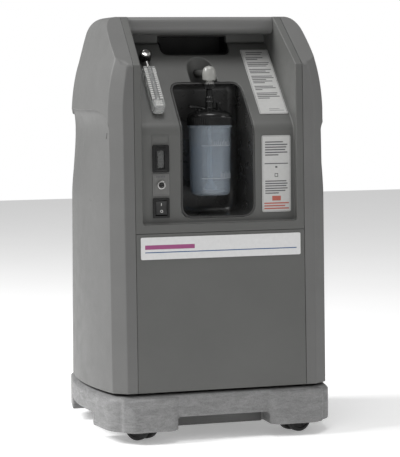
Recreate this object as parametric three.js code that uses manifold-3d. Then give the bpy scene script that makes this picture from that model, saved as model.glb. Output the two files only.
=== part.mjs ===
// Floor-standing oxygen concentrator: a moulded casing on a castered base, with a slanted
// control panel, a humidifier bottle in its own well, and the machinery inside.
// Millimetres. +Z up, origin on the floor under the middle, front towards -Y, +X to the
// right as seen from the front.

import * as THREE from 'three';
import { mergeVertices } from 'three/addons/utils/BufferGeometryUtils.js';
import Module from 'manifold-3d';

const wasm = await Module();
wasm.setup();

// ---------------------------------------------------------------- driving dimensions

const GAP = 0.3;                    // clearance where two pieces meet
const WALL = 3;                     // thickness of the moulded covers

const HEIGHT = 699;
const CASING_BOTTOM = 83;
const SHOULDER_Z = 618;             // the front face turns back here
const FRONT_Y = -166;               // front face at the bottom of the casing
const REAR_Y = 166;
const FRONT_LEAN = 0.018;           // mm back per mm up
const REAR_LEAN = 0.055;            // mm forward per mm up
const SHOULDER_SLOPE = 1.28;        // mm back per mm up on the slanted shoulder
const TOP_FRONT_Y = -53;            // where the slanted shoulder meets the top

const STRIP_HALF = 162.7;           // half width across the flat front
const BEVEL_HALF = 184.5;           // half width where the bevels end
const BEVEL_DEPTH = 16.5;
const BOW = 22;                     // how far the sides bulge past the bevels
const BOW_TAPER = 0.15;             // share of the bulge lost by the foot of the rounded top
const TOP_ROUND_Z = 545;            // the sides begin to round in here

const SEAM_BOTTOM = 145.4;          // half width of the middle panels
const SEAM_SHOULDER = 144.2;
const SEAM_TOP = 140;
const PANEL_SEAM_Z = 344;           // seam between the lower and the control panel
const TOP_SEAM_Y = 24;              // seam between the control panel and the rear panel

const SCOOP_TOP_Z = 545;            // hand scoop in each side, under a ledge
const SCOOP_DEEPEST_Z = 510;
const SCOOP_LOW_Z = 395;            // the scoop fades out here
const SCOOP_HALF_Y = 146;
const SCOOP_DROP = 45;              // the ledge's rounded ends come down by this much
const SCOOP_RUN = 66;               // along this length
const SCOOP_DEPTH = 15;
const SCOOP_LEDGE_SHARE = 0.35;     // share of the depth left at the ledge
const SCOOP_END_SHARE = 0.35;       // share of the depth left at the front and rear ends

const RECESS_HALF = 132;            // recess of the control panel
const RECESS_HALF_TOP = 125;
const RECESS_BOTTOM_Z = 358;
const RECESS_Y = -147;
const BEND_Z = 515;                 // the recess floor turns back here
const PANEL_SLOPE = 1.03;           // mm back per mm up on the slanted panel
const LIP_Z = 654;
const CEILING_Z = 670;
const HANDLE_BACK_Y = -12;
const POCKET_HALF = 61;             // finger pocket under the handle
const POCKET_LOW_Z = 635;
const POCKET_BACK_Y = 38;

const WELL_HALF = 64;               // humidifier well
const WELL_BOTTOM_Z = 366;
const WELL_TOP_Z = 589;
const WELL_BACK_Y = -40;
const NOTCH_RADIUS = 23;            // hollow behind the outlet elbow
const NOTCH_Y = -50;

const BOTTLE_Y = -99;               // humidifier axis
const CONTROLS_X = -98;             // column of meter, breaker and switch
const FLOWMETER_X = -94.5;

const BASE_HALF = 209.5;
const BASE_TOP_Z = 79;
const BASE_UNDERSIDE_Z = 41;
const BASE_FRONT_Y = -170;
const FOOT_BOTTOM_Z = 20;
const TOE_Y = -184;
const CASTER_X = 124;
const CASTER_Y = 136;
const CASTER_TRAIL = 12;
const WHEEL_RADIUS = 25;

// ---------------------------------------------------------------- materials

const colours = {
  casing: [0x6c6d6b, 0.62, 0.0],
  panel: [0x64655f, 0.6, 0.0],
  base: [0x8a8a88, 0.7, 0.0],
  black: [0x191919, 0.4, 0.0],
  well: [0x202020, 0.5, 0.0],
  rubber: [0x1b1b1c, 0.8, 0.0],
  label: [0xb9b9b7, 0.6, 0.0],
  clear: [0xdfe6ea, 0.08, 0.0],
  bottle: [0x9fb0bf, 0.15, 0.0],
  chrome: [0xc9c9c7, 0.15, 0.9],
  steel: [0x9a9c9e, 0.35, 0.9],
  aluminium: [0xaeb1b4, 0.4, 0.8],
  board: [0x1f5d3a, 0.55, 0.0],
  foam: [0x2a2a2b, 0.95, 0.0],
  white: [0xe6e6e2, 0.5, 0.0],
};

function material(slot) {
  const [color, roughness, metalness] = colours[slot];
  return new THREE.MeshStandardMaterial({ color, roughness, metalness });
}

// ---------------------------------------------------------------- geometry helpers

// Basis changes that send an outline's own x, y and depth to the object's axes.
const toX = new THREE.Matrix4().makeBasis(
  new THREE.Vector3(0, 1, 0), new THREE.Vector3(0, 0, 1), new THREE.Vector3(1, 0, 0));
const toY = new THREE.Matrix4().makeBasis(
  new THREE.Vector3(1, 0, 0), new THREE.Vector3(0, 0, 1), new THREE.Vector3(0, -1, 0));

function solid(geometry) {
  const plain = geometry.clone();
  plain.deleteAttribute('normal');
  plain.deleteAttribute('uv');
  const merged = mergeVertices(plain, 1e-4);
  const index = merged.index.array;
  const kept = [];
  for (let i = 0; i < index.length; i += 3) {
    const [a, b, c] = [index[i], index[i + 1], index[i + 2]];
    if (a !== b && b !== c && c !== a) kept.push(a, b, c);
  }
  return new wasm.Manifold(new wasm.Mesh({
    numProp: 3,
    vertProperties: new Float32Array(merged.attributes.position.array),
    triVerts: new Uint32Array(kept),
  }));
}

function geometryOf(body) {
  const mesh = body.getMesh();
  const geometry = new THREE.BufferGeometry();
  geometry.setAttribute('position', new THREE.BufferAttribute(mesh.vertProperties, 3));
  geometry.setIndex(new THREE.BufferAttribute(mesh.triVerts, 1));
  geometry.computeVertexNormals();
  return geometry;
}

function extrude(shape, depth, curveSegments = 8, steps = 1) {
  return new THREE.ExtrudeGeometry(shape, { depth, steps, curveSegments, bevelEnabled: false });
}

// A prism along Z, X or Y between two coordinates. Outlines are (x, y), (y, z) and (x, z).
function prismZ(shape, low, high, curveSegments) {
  return solid(extrude(shape, high - low, curveSegments).translate(0, 0, low));
}

function prismX(shape, low, high, curveSegments) {
  return solid(extrude(shape, high - low, curveSegments).applyMatrix4(toX).translate(low, 0, 0));
}

function prismY(shape, low, high, curveSegments) {
  return solid(extrude(shape, high - low, curveSegments).applyMatrix4(toY).translate(0, high, 0));
}

// An outline through [x, y, radius] corners, each rounded by its radius.
function outline(corners) {
  const shape = new THREE.Shape();
  corners.forEach(([x, y, radius = 0], i) => {
    const corner = new THREE.Vector2(x, y);
    const before = new THREE.Vector2(...corners[(i + corners.length - 1) % corners.length]);
    const after = new THREE.Vector2(...corners[(i + 1) % corners.length]);
    const start = corner.clone().add(before.sub(corner).setLength(radius));
    const end = corner.clone().add(after.sub(corner).setLength(radius));
    if (i === 0) shape.moveTo(start.x, start.y);
    else shape.lineTo(start.x, start.y);
    if (radius > 0) shape.quadraticCurveTo(x, y, end.x, end.y);
  });
  return shape;
}

function rectangle(x0, y0, x1, y1, radius = 0) {
  return outline([[x0, y0, radius], [x1, y0, radius], [x1, y1, radius], [x0, y1, radius]]);
}

function block(x0, x1, y0, y1, z0, z1) {
  const box = new THREE.BoxGeometry(x1 - x0, y1 - y0, z1 - z0);
  return solid(box.translate((x0 + x1) / 2, (y0 + y1) / 2, (z0 + z1) / 2));
}

// A disc or rod of the given radius along one axis, starting at `from` on that axis.
function rod(axis, radius, from, to, [a, b], segments = 32) {
  const geometry = new THREE.CylinderGeometry(radius, radius, to - from, segments);
  const middle = (from + to) / 2;
  if (axis === 'x') geometry.rotateZ(Math.PI / 2).translate(middle, a, b);
  if (axis === 'y') geometry.translate(a, middle, b);
  if (axis === 'z') geometry.rotateX(Math.PI / 2).translate(a, b, middle);
  return solid(geometry);
}

// A body turned about Z from [radius, height] points that start and end on the axis.
function turned(points, segments = 40) {
  const profile = points.map(([radius, height]) => new THREE.Vector2(radius, height));
  return solid(new THREE.LatheGeometry(profile, segments).rotateX(Math.PI / 2));
}

function tube(points, radius, segments = 12, steps = 24) {
  const circle = new THREE.Shape();
  circle.absarc(0, 0, radius, 0, 2 * Math.PI);
  const path = new THREE.CatmullRomCurve3(points.map((point) => new THREE.Vector3(...point)));
  return solid(new THREE.ExtrudeGeometry(circle, {
    steps, curveSegments: segments / 2, bevelEnabled: false, extrudePath: path,
  }));
}

const concentrator = new THREE.Group();

function add(name, body, slot, parent = concentrator) {
  const geometry = body.isBufferGeometry ? body : geometryOf(body);
  const mesh = new THREE.Mesh(geometry, material(slot));
  mesh.name = name;
  parent.add(mesh);
  return mesh;
}

// ---------------------------------------------------------------- casing envelope

const PLAN_SEGMENTS = 10;            // facets along each bowed side
const INWARD_CORNER_FRONT = new THREE.Vector2(0.32, -1);     // per mm of inset, strip corner
const INWARD_CORNER_BEVEL = new THREE.Vector2(0.88, -0.6);   // per mm of inset, bevel corner

// Plan outline of the casing at its bottom, drawn `inset` mm inside the outer surface.
function planOutline(inset) {
  const strip = [STRIP_HALF - INWARD_CORNER_FRONT.x * inset, -FRONT_Y + INWARD_CORNER_FRONT.y * inset];
  const bevel = [
    BEVEL_HALF - INWARD_CORNER_BEVEL.x * inset,
    -FRONT_Y - BEVEL_DEPTH + INWARD_CORNER_BEVEL.y * inset,
  ];
  const bulge = BOW - 0.12 * inset;
  const radius = (bevel[1] ** 2 + bulge ** 2) / (2 * bulge);
  const centre = bevel[0] + bulge - radius;
  const sweep = Math.asin(bevel[1] / radius);
  const shape = new THREE.Shape();
  shape.moveTo(-strip[0], -strip[1]);
  shape.lineTo(strip[0], -strip[1]);
  shape.absarc(centre, 0, radius, -sweep, sweep, false);
  shape.lineTo(strip[0], strip[1]);
  shape.lineTo(-strip[0], strip[1]);
  shape.absarc(-centre, 0, radius, Math.PI - sweep, Math.PI + sweep, false);
  shape.closePath();
  return shape;
}

// Half width of the casing at its widest against height: upright, then rounded in at the top.
const sideSection = new THREE.Path();
sideSection.moveTo(BEVEL_HALF + BOW, CASING_BOTTOM);
sideSection.lineTo(BEVEL_HALF + BOW, TOP_ROUND_Z);
sideSection.quadraticCurveTo(BEVEL_HALF + BOW - 2, 590, 192, 626);
sideSection.lineTo(179, 672);
sideSection.quadraticCurveTo(172, HEIGHT - 1, 152, HEIGHT);

const sectionPoints = sideSection.getPoints(4);
const SCOOP_STEPS_BELOW = 5;         // heights drawn up to the deepest point
const SCOOP_STEPS_ABOVE = 3;         // and from there up to the ledge
const scoopLevels = [];
for (let i = 0; i < SCOOP_STEPS_BELOW; i += 1) {
  scoopLevels.push(SCOOP_LOW_Z + ((SCOOP_DEEPEST_Z - SCOOP_LOW_Z) * i) / SCOOP_STEPS_BELOW);
}
for (let i = 0; i < SCOOP_STEPS_ABOVE; i += 1) {
  scoopLevels.push(SCOOP_DEEPEST_Z + ((SCOOP_TOP_Z - SCOOP_DEEPEST_Z) * i) / SCOOP_STEPS_ABOVE);
}

// Share of the scoop's depth at a height: none at its foot, all at its deepest, less at the ledge.
function scoopShare(z) {
  if (z <= SCOOP_LOW_Z || z > SCOOP_TOP_Z) return 0;
  if (z < SCOOP_DEEPEST_Z) {
    const climb = (z - SCOOP_LOW_Z) / (SCOOP_DEEPEST_Z - SCOOP_LOW_Z);
    return Math.sin((climb * Math.PI) / 2) ** 2;
  }
  const past = (z - SCOOP_DEEPEST_Z) / (SCOOP_TOP_Z - SCOOP_DEEPEST_Z);
  return 1 - (1 - SCOOP_LEDGE_SHARE) * past ** 2;
}

// The plan carried up the section, `inset` mm inside the outer surface. `scoop` draws the
// sides in by up to that much.
function casingLoft(inset, scoop) {
  const section = [...sectionPoints];
  if (scoop > 0) {
    section.splice(1, 0, ...scoopLevels.map((z) => new THREE.Vector2(BEVEL_HALF + BOW, z)));
  }
  const levels = section.map((point) => point.y);
  const geometry = extrude(planOutline(inset), levels.length - 1, PLAN_SEGMENTS, levels.length - 1);
  const position = geometry.attributes.position;
  const widest = BEVEL_HALF + BOW;
  for (let i = 0; i < position.count; i += 1) {
    const level = Math.round(position.getZ(i));
    const z = levels[level];
    const rise = z - CASING_BOTTOM;
    const climb = Math.min(1, rise / (TOP_ROUND_Z - CASING_BOTTOM));
    let x = position.getX(i);
    const y = position.getY(i);
    const bulge = Math.max(0, Math.abs(x) - BEVEL_HALF);
    const middle = 1 - (1 - SCOOP_END_SHARE) * Math.min(1, (y / SCOOP_HALF_Y) ** 2);
    x -= Math.sign(x) * (bulge * BOW_TAPER * climb + scoop * scoopShare(z) * middle);
    x *= section[level].x / widest;
    const lean = y < 0 ? FRONT_LEAN : REAR_LEAN;
    position.setXYZ(i, x, y * (1 - (lean * rise) / REAR_Y), z);
  }
  return solid(geometry);
}

function casingBody(inset) {
  return casingLoft(inset, 0).intersect(sideProfile(inset));
}

const ROUND_END_Z = 508;            // the rounded rear top runs out into the rear face here
const ROUND_END_Y = REAR_Y - REAR_LEAN * (ROUND_END_Z - CASING_BOTTOM);

// Side view of the casing: slanted shoulder in front, flat top, big round at the rear.
function sideProfile(inset) {
  const across = Math.hypot(1, SHOULDER_SLOPE);
  const dy = inset / across;
  const dz = (inset * SHOULDER_SLOPE) / across;
  const shoulderY = FRONT_Y + FRONT_LEAN * (SHOULDER_Z - CASING_BOTTOM);
  const low = -230;
  const lowZ = SHOULDER_Z - (shoulderY - low) / SHOULDER_SLOPE;
  const top = HEIGHT - inset;
  const topY = shoulderY + (HEIGHT - SHOULDER_Z) * SHOULDER_SLOPE + dy;
  const shape = new THREE.Shape();
  shape.moveTo(low + dy, CASING_BOTTOM - 10);
  shape.lineTo(low + dy, lowZ - dz);
  shape.lineTo(topY, top);
  shape.lineTo(10, top);
  shape.bezierCurveTo(84, top, ROUND_END_Y - 7 - inset, 622 - inset, ROUND_END_Y - inset, ROUND_END_Z);
  shape.lineTo(200, ROUND_END_Z - 10);
  shape.lineTo(200, CASING_BOTTOM - 10);
  shape.closePath();
  return prismX(shape, -230, 230, 10);
}

// Middle third of the casing in front view, `grow` mm wider than the seam on each side.
function middle(grow, z0, z1) {
  const halfAt = (z) => {
    if (z < SHOULDER_Z) {
      const share = (z - CASING_BOTTOM) / (SHOULDER_Z - CASING_BOTTOM);
      return SEAM_BOTTOM + (SEAM_SHOULDER - SEAM_BOTTOM) * share + grow;
    }
    const share = (z - SHOULDER_Z) / (HEIGHT - SHOULDER_Z);
    return SEAM_SHOULDER + (SEAM_TOP - SEAM_SHOULDER) * share + grow;
  };
  const heights = [z0, z1];
  if (z0 < SHOULDER_Z && z1 > SHOULDER_Z) heights.splice(1, 0, SHOULDER_Z);
  const right = heights.map((z) => [halfAt(z), z]);
  const left = heights.map((z) => [-halfAt(z), z]).reverse();
  return prismY(outline([...right, ...left]), -250, 250);
}

// The hand scoop in both sides: what lies outside the drawn-in surface, below a ledge that
// comes down in a curve at both ends.
function scoopCut(inset) {
  const half = SCOOP_HALF_Y + inset;
  const ledge = SCOOP_TOP_Z + inset;
  const window = new THREE.Shape();
  window.moveTo(-half, SCOOP_LOW_Z + 1);
  window.lineTo(half, SCOOP_LOW_Z + 1);
  window.lineTo(half, ledge - SCOOP_DROP);
  window.quadraticCurveTo(half, ledge, half - SCOOP_RUN, ledge);
  window.lineTo(-half + SCOOP_RUN, ledge);
  window.quadraticCurveTo(-half, ledge, -half, ledge - SCOOP_DROP);
  window.closePath();
  return prismX(window, -260, 260, 8).subtract(casingLoft(inset, SCOOP_DEPTH));
}

const envelope = casingBody(0);
const hollow = casingBody(WALL);
const scoopedShell = envelope.subtract(scoopCut(0)).subtract(hollow.subtract(scoopCut(WALL)));

// ---------------------------------------------------------------- side covers

const LATCH_Y = -122;               // small release slot in the front of each scoop
const LATCH_Z = 503;
const latchSlot = prismX(rectangle(LATCH_Y - 1.6, LATCH_Z - 4.5, LATCH_Y + 1.6, LATCH_Z + 4.5), -260, 260);
const sideShell = scoopedShell.subtract(middle(GAP, CASING_BOTTOM - 20, HEIGHT + 20)).subtract(latchSlot);
add('left_side_cover', sideShell.intersect(block(-260, 0, -260, 260, 0, 800)), 'casing');
add('right_side_cover', sideShell.intersect(block(0, 260, -260, 260, 0, 800)), 'casing');

// ---------------------------------------------------------------- control panel

const slantY = (z) => RECESS_Y + (z - BEND_Z) * PANEL_SLOPE;

// Side view of the space in front of the recess floor, `grow` mm larger.
function recessProfile(grow) {
  const back = grow / Math.SQRT2;
  return outline([
    [-260, RECESS_BOTTOM_Z - grow],
    [RECESS_Y + grow, RECESS_BOTTOM_Z - grow, 3],
    [RECESS_Y + grow, BEND_Z - grow * 0.4, 14],
    [slantY(LIP_Z) + back, LIP_Z - back, 3],
    [slantY(LIP_Z) + 7 + grow, LIP_Z + 2, 2],
    [slantY(LIP_Z) + 7 + grow, CEILING_Z + grow],
    [HANDLE_BACK_Y + grow, CEILING_Z + grow],
    [HANDLE_BACK_Y + grow, HEIGHT + 30],
    [-260, HEIGHT + 30],
  ]);
}

// Front view of the recess opening.
function recessOpening(grow) {
  const low = RECESS_BOTTOM_Z - grow;
  const over = HEIGHT + 30;
  return prismY(outline([
    [-RECESS_HALF - grow, low, 5], [RECESS_HALF + grow, low, 5],
    [RECESS_HALF + grow, SHOULDER_Z], [RECESS_HALF_TOP + grow, over],
    [-RECESS_HALF_TOP - grow, over], [-RECESS_HALF - grow, SHOULDER_Z],
  ]), -260, 60, 4);
}

function notch(grow) {
  const shape = new THREE.Shape();
  shape.moveTo(-NOTCH_RADIUS - grow, -170);
  shape.lineTo(NOTCH_RADIUS + grow, -170);
  shape.lineTo(NOTCH_RADIUS + grow, NOTCH_Y);
  shape.absarc(0, NOTCH_Y, NOTCH_RADIUS + grow, 0, Math.PI, false);
  shape.closePath();
  return prismZ(shape, WELL_TOP_Z - 40, CEILING_Z, 12);
}

function recess(grow) {
  return prismX(recessProfile(grow), -200, 200, 5).intersect(recessOpening(grow)).add(notch(grow));
}

// Front view of the humidifier well's mouth.
function wellOutline(inset) {
  const half = WELL_HALF - inset;
  return outline([
    [-half, WELL_BOTTOM_Z + inset, 24 - inset], [half, WELL_BOTTOM_Z + inset, 24 - inset],
    [half - 1.5, WELL_TOP_Z - inset, 18 - inset], [-half + 1.5, WELL_TOP_Z - inset, 18 - inset],
  ]);
}

// Front view of the finger pocket under the carry handle.
function pocketOutline(inset) {
  const half = POCKET_HALF - inset;
  const low = POCKET_LOW_Z + inset;
  const high = CEILING_Z - 1 - inset;
  return outline([[-half, high, 2], [-half, low, 12 - inset], [half, low, 12 - inset], [half, high, 2]]);
}

const middleShell = envelope.intersect(middle(-GAP, CASING_BOTTOM - 5, HEIGHT + 5));
const panelShell = middleShell.subtract(recess(0)).subtract(hollow.subtract(recess(WALL)))
  .intersect(block(-200, 200, -260, TOP_SEAM_Y, PANEL_SEAM_Z + GAP, HEIGHT + 5))
  .subtract(block(-200, 200, -120, TOP_SEAM_Y + 5, PANEL_SEAM_Z - 5, RECESS_BOTTOM_Z - WALL));

// Ports in the panel for the well, the finger pocket and the controls.
const meterHole = prismY(rectangle(CONTROLS_X - 12, 446, CONTROLS_X + 12, 484), -160, -130);
const breakerHole = rod('y', 5.6, -160, -130, [CONTROLS_X, 422.6]);
const switchHole = prismY(rectangle(CONTROLS_X - 11.5, 370.5, CONTROLS_X + 11.5, 398.5), -160, -130);
const outletHole = rod('y', 6.4, -60, 10, [0, 604], 20);
const controlPanel = panelShell
  .subtract(prismY(wellOutline(0), -190, 60, 8))
  .subtract(prismY(pocketOutline(0), -120, 60, 4))
  .subtract(meterHole)
  .subtract(breakerHole)
  .subtract(switchHole)
  .subtract(outletHole);
add('control_panel', controlPanel, 'panel');

// ---------------------------------------------------------------- lower front and rear panels

const LOWER_FLANGE = 14;
const lowerSlab = middleShell
  .intersect(block(-200, 200, -260, -100, CASING_BOTTOM, PANEL_SEAM_Z - GAP))
  .subtract(casingBody(LOWER_FLANGE));
const lowerHollow = hollow.intersect(middle(-WALL - GAP, CASING_BOTTOM + WALL, PANEL_SEAM_Z - WALL));
add('front_lower_panel', lowerSlab.subtract(lowerHollow), 'panel');

const FILTER_HALF = 92;
const FILTER_LOW_Z = 372;
const FILTER_HIGH_Z = 492;
const GRILLE_SLOTS = 9;
const GRILLE_LOW_Z = 130;
const GRILLE_PITCH = 11;
const INLET_X = -112;               // the power cord comes in here
const INLET_Z = 106;
const BAY_BACK_Y = 116;
const LOUVRES = 5;
const LOUVRE_PITCH = 20;

let rearPanel = middleShell.subtract(hollow)
  .intersect(block(-200, 200, TOP_SEAM_Y + 2 * GAP, 260, CASING_BOTTOM, HEIGHT + 5));
// Filter bay: a shallow tray let into the rear face, with a louvred floor.
const bay = (grow, back) => prismY(rectangle(
  -FILTER_HALF - grow, FILTER_LOW_Z - grow, FILTER_HALF + grow, FILTER_HIGH_Z + grow, 8,
), back, 200, 5);
rearPanel = rearPanel.add(bay(WALL, BAY_BACK_Y - WALL).intersect(envelope)).subtract(bay(0, BAY_BACK_Y));
for (let i = 1; i <= LOUVRES; i += 1) {
  const z = FILTER_LOW_Z + i * LOUVRE_PITCH;
  rearPanel = rearPanel.subtract(block(-75, 75, 100, 130, z - 4, z + 4));
}
for (let i = 0; i < GRILLE_SLOTS; i += 1) {
  const z = GRILLE_LOW_Z + i * GRILLE_PITCH;
  rearPanel = rearPanel.subtract(block(-70, 70, 100, 200, z - 2.5, z + 2.5));
}
rearPanel = rearPanel.subtract(rod('y', 8.2, 120, 200, [INLET_X, INLET_Z], 24));
add('rear_panel', rearPanel, 'casing');

const filterBody = bay(-1.5, BAY_BACK_Y + 1).intersect(block(-200, 200, 100, BAY_BACK_Y + 16, 300, 600));
add('cabinet_filter', filterBody, 'foam');

const gland = rod('y', 12, 165.8, 174, [INLET_X, INLET_Z], 24)
  .add(rod('y', 7.8, 146, 167, [INLET_X, INLET_Z], 24))
  .subtract(rod('y', 4, 140, 180, [INLET_X, INLET_Z], 20));
add('power_cord_gland', gland, 'black');

// ---------------------------------------------------------------- handle, pocket and well

const handleSection = outline([
  [HANDLE_BACK_Y - GAP, CEILING_Z + GAP], [HANDLE_BACK_Y - GAP, HEIGHT, 2],
  [-52, HEIGHT, 11], [-52, CEILING_Z + 5, 9], [-38, CEILING_Z + GAP, 4],
]);
const carryHandle = prismX(handleSection, -RECESS_HALF, RECESS_HALF, 6).intersect(recessOpening(-GAP - 0.1));
add('carry_handle', carryHandle, 'casing');

const frontOfFloor = prismX(recessProfile(0.5), -200, 200, 5);
const pocketLiner = prismY(pocketOutline(GAP), -120, POCKET_BACK_Y, 4)
  .subtract(prismY(pocketOutline(GAP + 2.2), -130, POCKET_BACK_Y - 2.2, 4))
  .subtract(frontOfFloor);
add('handle_pocket_liner', pocketLiner, 'well');

const humidifierWell = prismY(wellOutline(GAP), -170, WELL_BACK_Y, 8)
  .subtract(prismY(wellOutline(GAP + 2.5), -180, WELL_BACK_Y - 2.5, 8))
  .subtract(frontOfFloor)
  .subtract(notch(WALL + GAP));
add('humidifier_well', humidifierWell, 'well');

// ---------------------------------------------------------------- labels

const LABEL = 0.8;
const frontAt = (z) => FRONT_Y + FRONT_LEAN * (z - CASING_BOTTOM);

// Sheet stuck on the leaning front face.
const stripGroup = new THREE.Group();
stripGroup.position.set(0, frontAt(320) - GAP, 320);
stripGroup.rotation.x = -Math.atan(FRONT_LEAN);
concentrator.add(stripGroup);
add('front_strip_label', prismY(rectangle(-137, -18.2, 137, 18.2, 2.5), -LABEL, 0, 3), 'label', stripGroup);

const lowerLabel = prismY(rectangle(75.5, 373, 125.5, 500, 3), RECESS_Y - GAP - LABEL, RECESS_Y - GAP, 3);
add('lower_label', lowerLabel, 'label');

// Everything on the slanted panel sits in this turned frame: local Z runs up the slope.
const SLANT_ORIGIN_Z = 580;
const slopeAngle = Math.atan(PANEL_SLOPE);
const slant = new THREE.Group();
slant.position.set(0, slantY(SLANT_ORIGIN_Z), SLANT_ORIGIN_Z);
slant.rotation.x = -slopeAngle;
concentrator.add(slant);
add('upper_label', prismY(rectangle(79.5, -65, 129, 90, 2), -GAP - LABEL, -GAP, 3), 'label', slant);

// ---------------------------------------------------------------- flowmeter

const METER_HALF = 10.2;
const METER_LOW = -62;
const METER_HIGH = 36;
const METER_DEPTH = 15;
const meterFront = -GAP - LABEL - 0.4 - METER_DEPTH;
const boreY = meterFront + METER_DEPTH / 2;
const meterShape = outline([
  [FLOWMETER_X - METER_HALF, METER_LOW, 7], [FLOWMETER_X + METER_HALF, METER_LOW, 7],
  [FLOWMETER_X + METER_HALF, METER_HIGH, 1.5], [FLOWMETER_X - METER_HALF, METER_HIGH, 1.5],
]);
const flowmeterBody = prismY(meterShape, meterFront, meterFront + METER_DEPTH, 5)
  .subtract(rod('z', 3.6, METER_LOW + 24, METER_HIGH + 5, [FLOWMETER_X, boreY], 20));
add('flowmeter_body', flowmeterBody, 'clear', slant);
add('flowmeter_scale', prismY(rectangle(
  FLOWMETER_X - 8.6, METER_LOW + 14, FLOWMETER_X + 8.6, METER_HIGH - 6, 1,
), -GAP - LABEL, -GAP, 2), 'white', slant);
const floatBall = new THREE.SphereGeometry(3.1, 16, 8).translate(FLOWMETER_X, boreY, METER_LOW + 37);
add('flowmeter_float', solid(floatBall), 'black', slant);
const fitting = rod('z', 4.6, METER_HIGH + GAP, METER_HIGH + 16, [FLOWMETER_X, boreY], 24)
  .add(block(FLOWMETER_X - 3, FLOWMETER_X + 3, boreY, -GAP, METER_HIGH + 4, METER_HIGH + 13));
add('flowmeter_fitting', fitting, 'chrome', slant);

const KNOB_Z = 65;
const knobBody = new THREE.Group();
knobBody.position.set(FLOWMETER_X, 0, KNOB_Z);
knobBody.rotation.x = Math.PI / 2;
slant.add(knobBody);
const KNOB_RIBS = 24;
const KNOB_RADIUS = 10.4;
const knobShape = new THREE.Shape();
for (let i = 0; i < KNOB_RIBS * 2; i += 1) {
  const angle = (i * Math.PI) / KNOB_RIBS;
  const radius = i % 2 ? KNOB_RADIUS - 0.8 : KNOB_RADIUS;
  const point = [radius * Math.cos(angle), radius * Math.sin(angle)];
  if (i === 0) knobShape.moveTo(...point);
  else knobShape.lineTo(...point);
}
const knob = prismZ(knobShape, 5, 19).add(rod('z', 4, GAP, 5, [0, 0], 20))
  .subtract(rod('z', 8.4, 17.6, 22, [0, 0], 32));
add('flow_knob', knob, 'black', knobBody);
const knobCap = turned([[0, 17.9], [8.1, 17.9], [8.1, 19.4], [7, 20.4], [0, 20.8]], 32);
add('flow_knob_cap', knobCap, 'chrome', knobBody);

// ---------------------------------------------------------------- outlet elbow and humidifier

const OUTLET_Z = 604;
const elbow = turned([
  [0, 583.5], [5.4, 583.5], [5.4, 594], [10.8, 594], [10.8, 606], [10.1, 610],
  [7.6, 614], [4, 616], [0, 616.6],
], 32).translate([0, BOTTLE_Y, 0])
  .add(rod('y', 6, BOTTLE_Y, 8, [0, OUTLET_Z], 20))
  .subtract(rod('z', 2.4, 580, OUTLET_Z, [0, BOTTLE_Y], 16))
  .subtract(rod('y', 2.4, BOTTLE_Y - 2.3, 12, [0, OUTLET_Z], 16));
add('outlet_elbow', elbow, 'chrome');

const bottle = new THREE.Group();
bottle.position.set(0, BOTTLE_Y, 0);
concentrator.add(bottle);

const nut = turned([[0, 577.5], [8.6, 577.5], [9, 578.2], [9, 588.5], [8.4, 589.2], [0, 589.2]], 24)
  .subtract(turned([[0, 570], [4.4, 570], [4.4, 579], [6, 579], [6, 600], [0, 600]], 24));
add('swivel_nut', nut, 'black', bottle);

const lidOuter = turned([
  [0, 517.8], [38.2, 517.8], [38.2, 531], [36.6, 535.4], [31, 539.6], [18, 543], [9.5, 544.5], [7.4, 547],
  [7, 552], [4.1, 560], [4.1, 579.4], [5.6, 581.2], [5.6, 583], [0, 583],
], 26);
const lidInner = turned([[0, 500], [36.9, 500], [36.9, 527], [34, 532], [17, 538], [0, 538]], 26);
const barb = tube([[0, 0, 541], [-13, -5, 545.5], [-25, -9, 548.5], [-37, -13, 549.5]], 3.2, 8, 8);
const lid = lidOuter.subtract(lidInner)
  .add(barb.subtract(turned([[0, 500], [6, 500], [6, 542], [0, 542]], 24)))
  .add(rod('z', 4.4, 539, 545.6, [17, 3], 20))
  .subtract(rod('z', 1.8, 530, 600, [0, 0], 16));
add('humidifier_lid', lid, 'black', bottle);
add('relief_valve_cap', turned([[0, 546], [4.6, 546], [4.6, 553.6], [3.4, 555], [0, 555]], 24)
  .translate([17, 3, 0]), 'black', bottle);

const jarOuter = turned([
  [0, 401.5], [28, 401.5], [32.4, 404.6], [33.4, 409], [35, 505], [35.4, 513], [37.6, 514.4],
  [37.6, 517.4], [35.6, 517.4], [35.6, 526.4], [0, 526.4],
], 28);
const jarInner = turned([
  [0, 404], [27.4, 404], [30.4, 406.6], [31.4, 410], [33, 505], [33.4, 530], [0, 530],
], 28);
add('humidifier_jar', jarOuter.subtract(jarInner), 'bottle', bottle);

const dipTube = turned([[0, 411], [8, 411], [8.4, 413], [3.2, 424], [3, 426], [3, 537.2], [0, 537.2]], 24)
  .subtract(turned([[0, 405], [1.7, 405], [1.7, 540], [0, 540]], 16));
add('diffuser_tube', dipTube, 'white', bottle);

// ---------------------------------------------------------------- meter, breaker and switch

const METER_FACE_Y = RECESS_Y - GAP;
const HOUR_METER_Z = 465.2;         // heights of the three on the column
const BREAKER_Z = 422.6;
const SWITCH_Z = 384.6;

// Rectangle on the controls' axis: half width, then below and above a height.
const onColumn = (z, half, below, above, radius) => rectangle(
  CONTROLS_X - half, z - below, CONTROLS_X + half, z + above, radius);
const onBreaker = (radius, front, back, steps) => rod(
  'y', radius, front, back, [CONTROLS_X, BREAKER_Z], steps);

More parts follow.
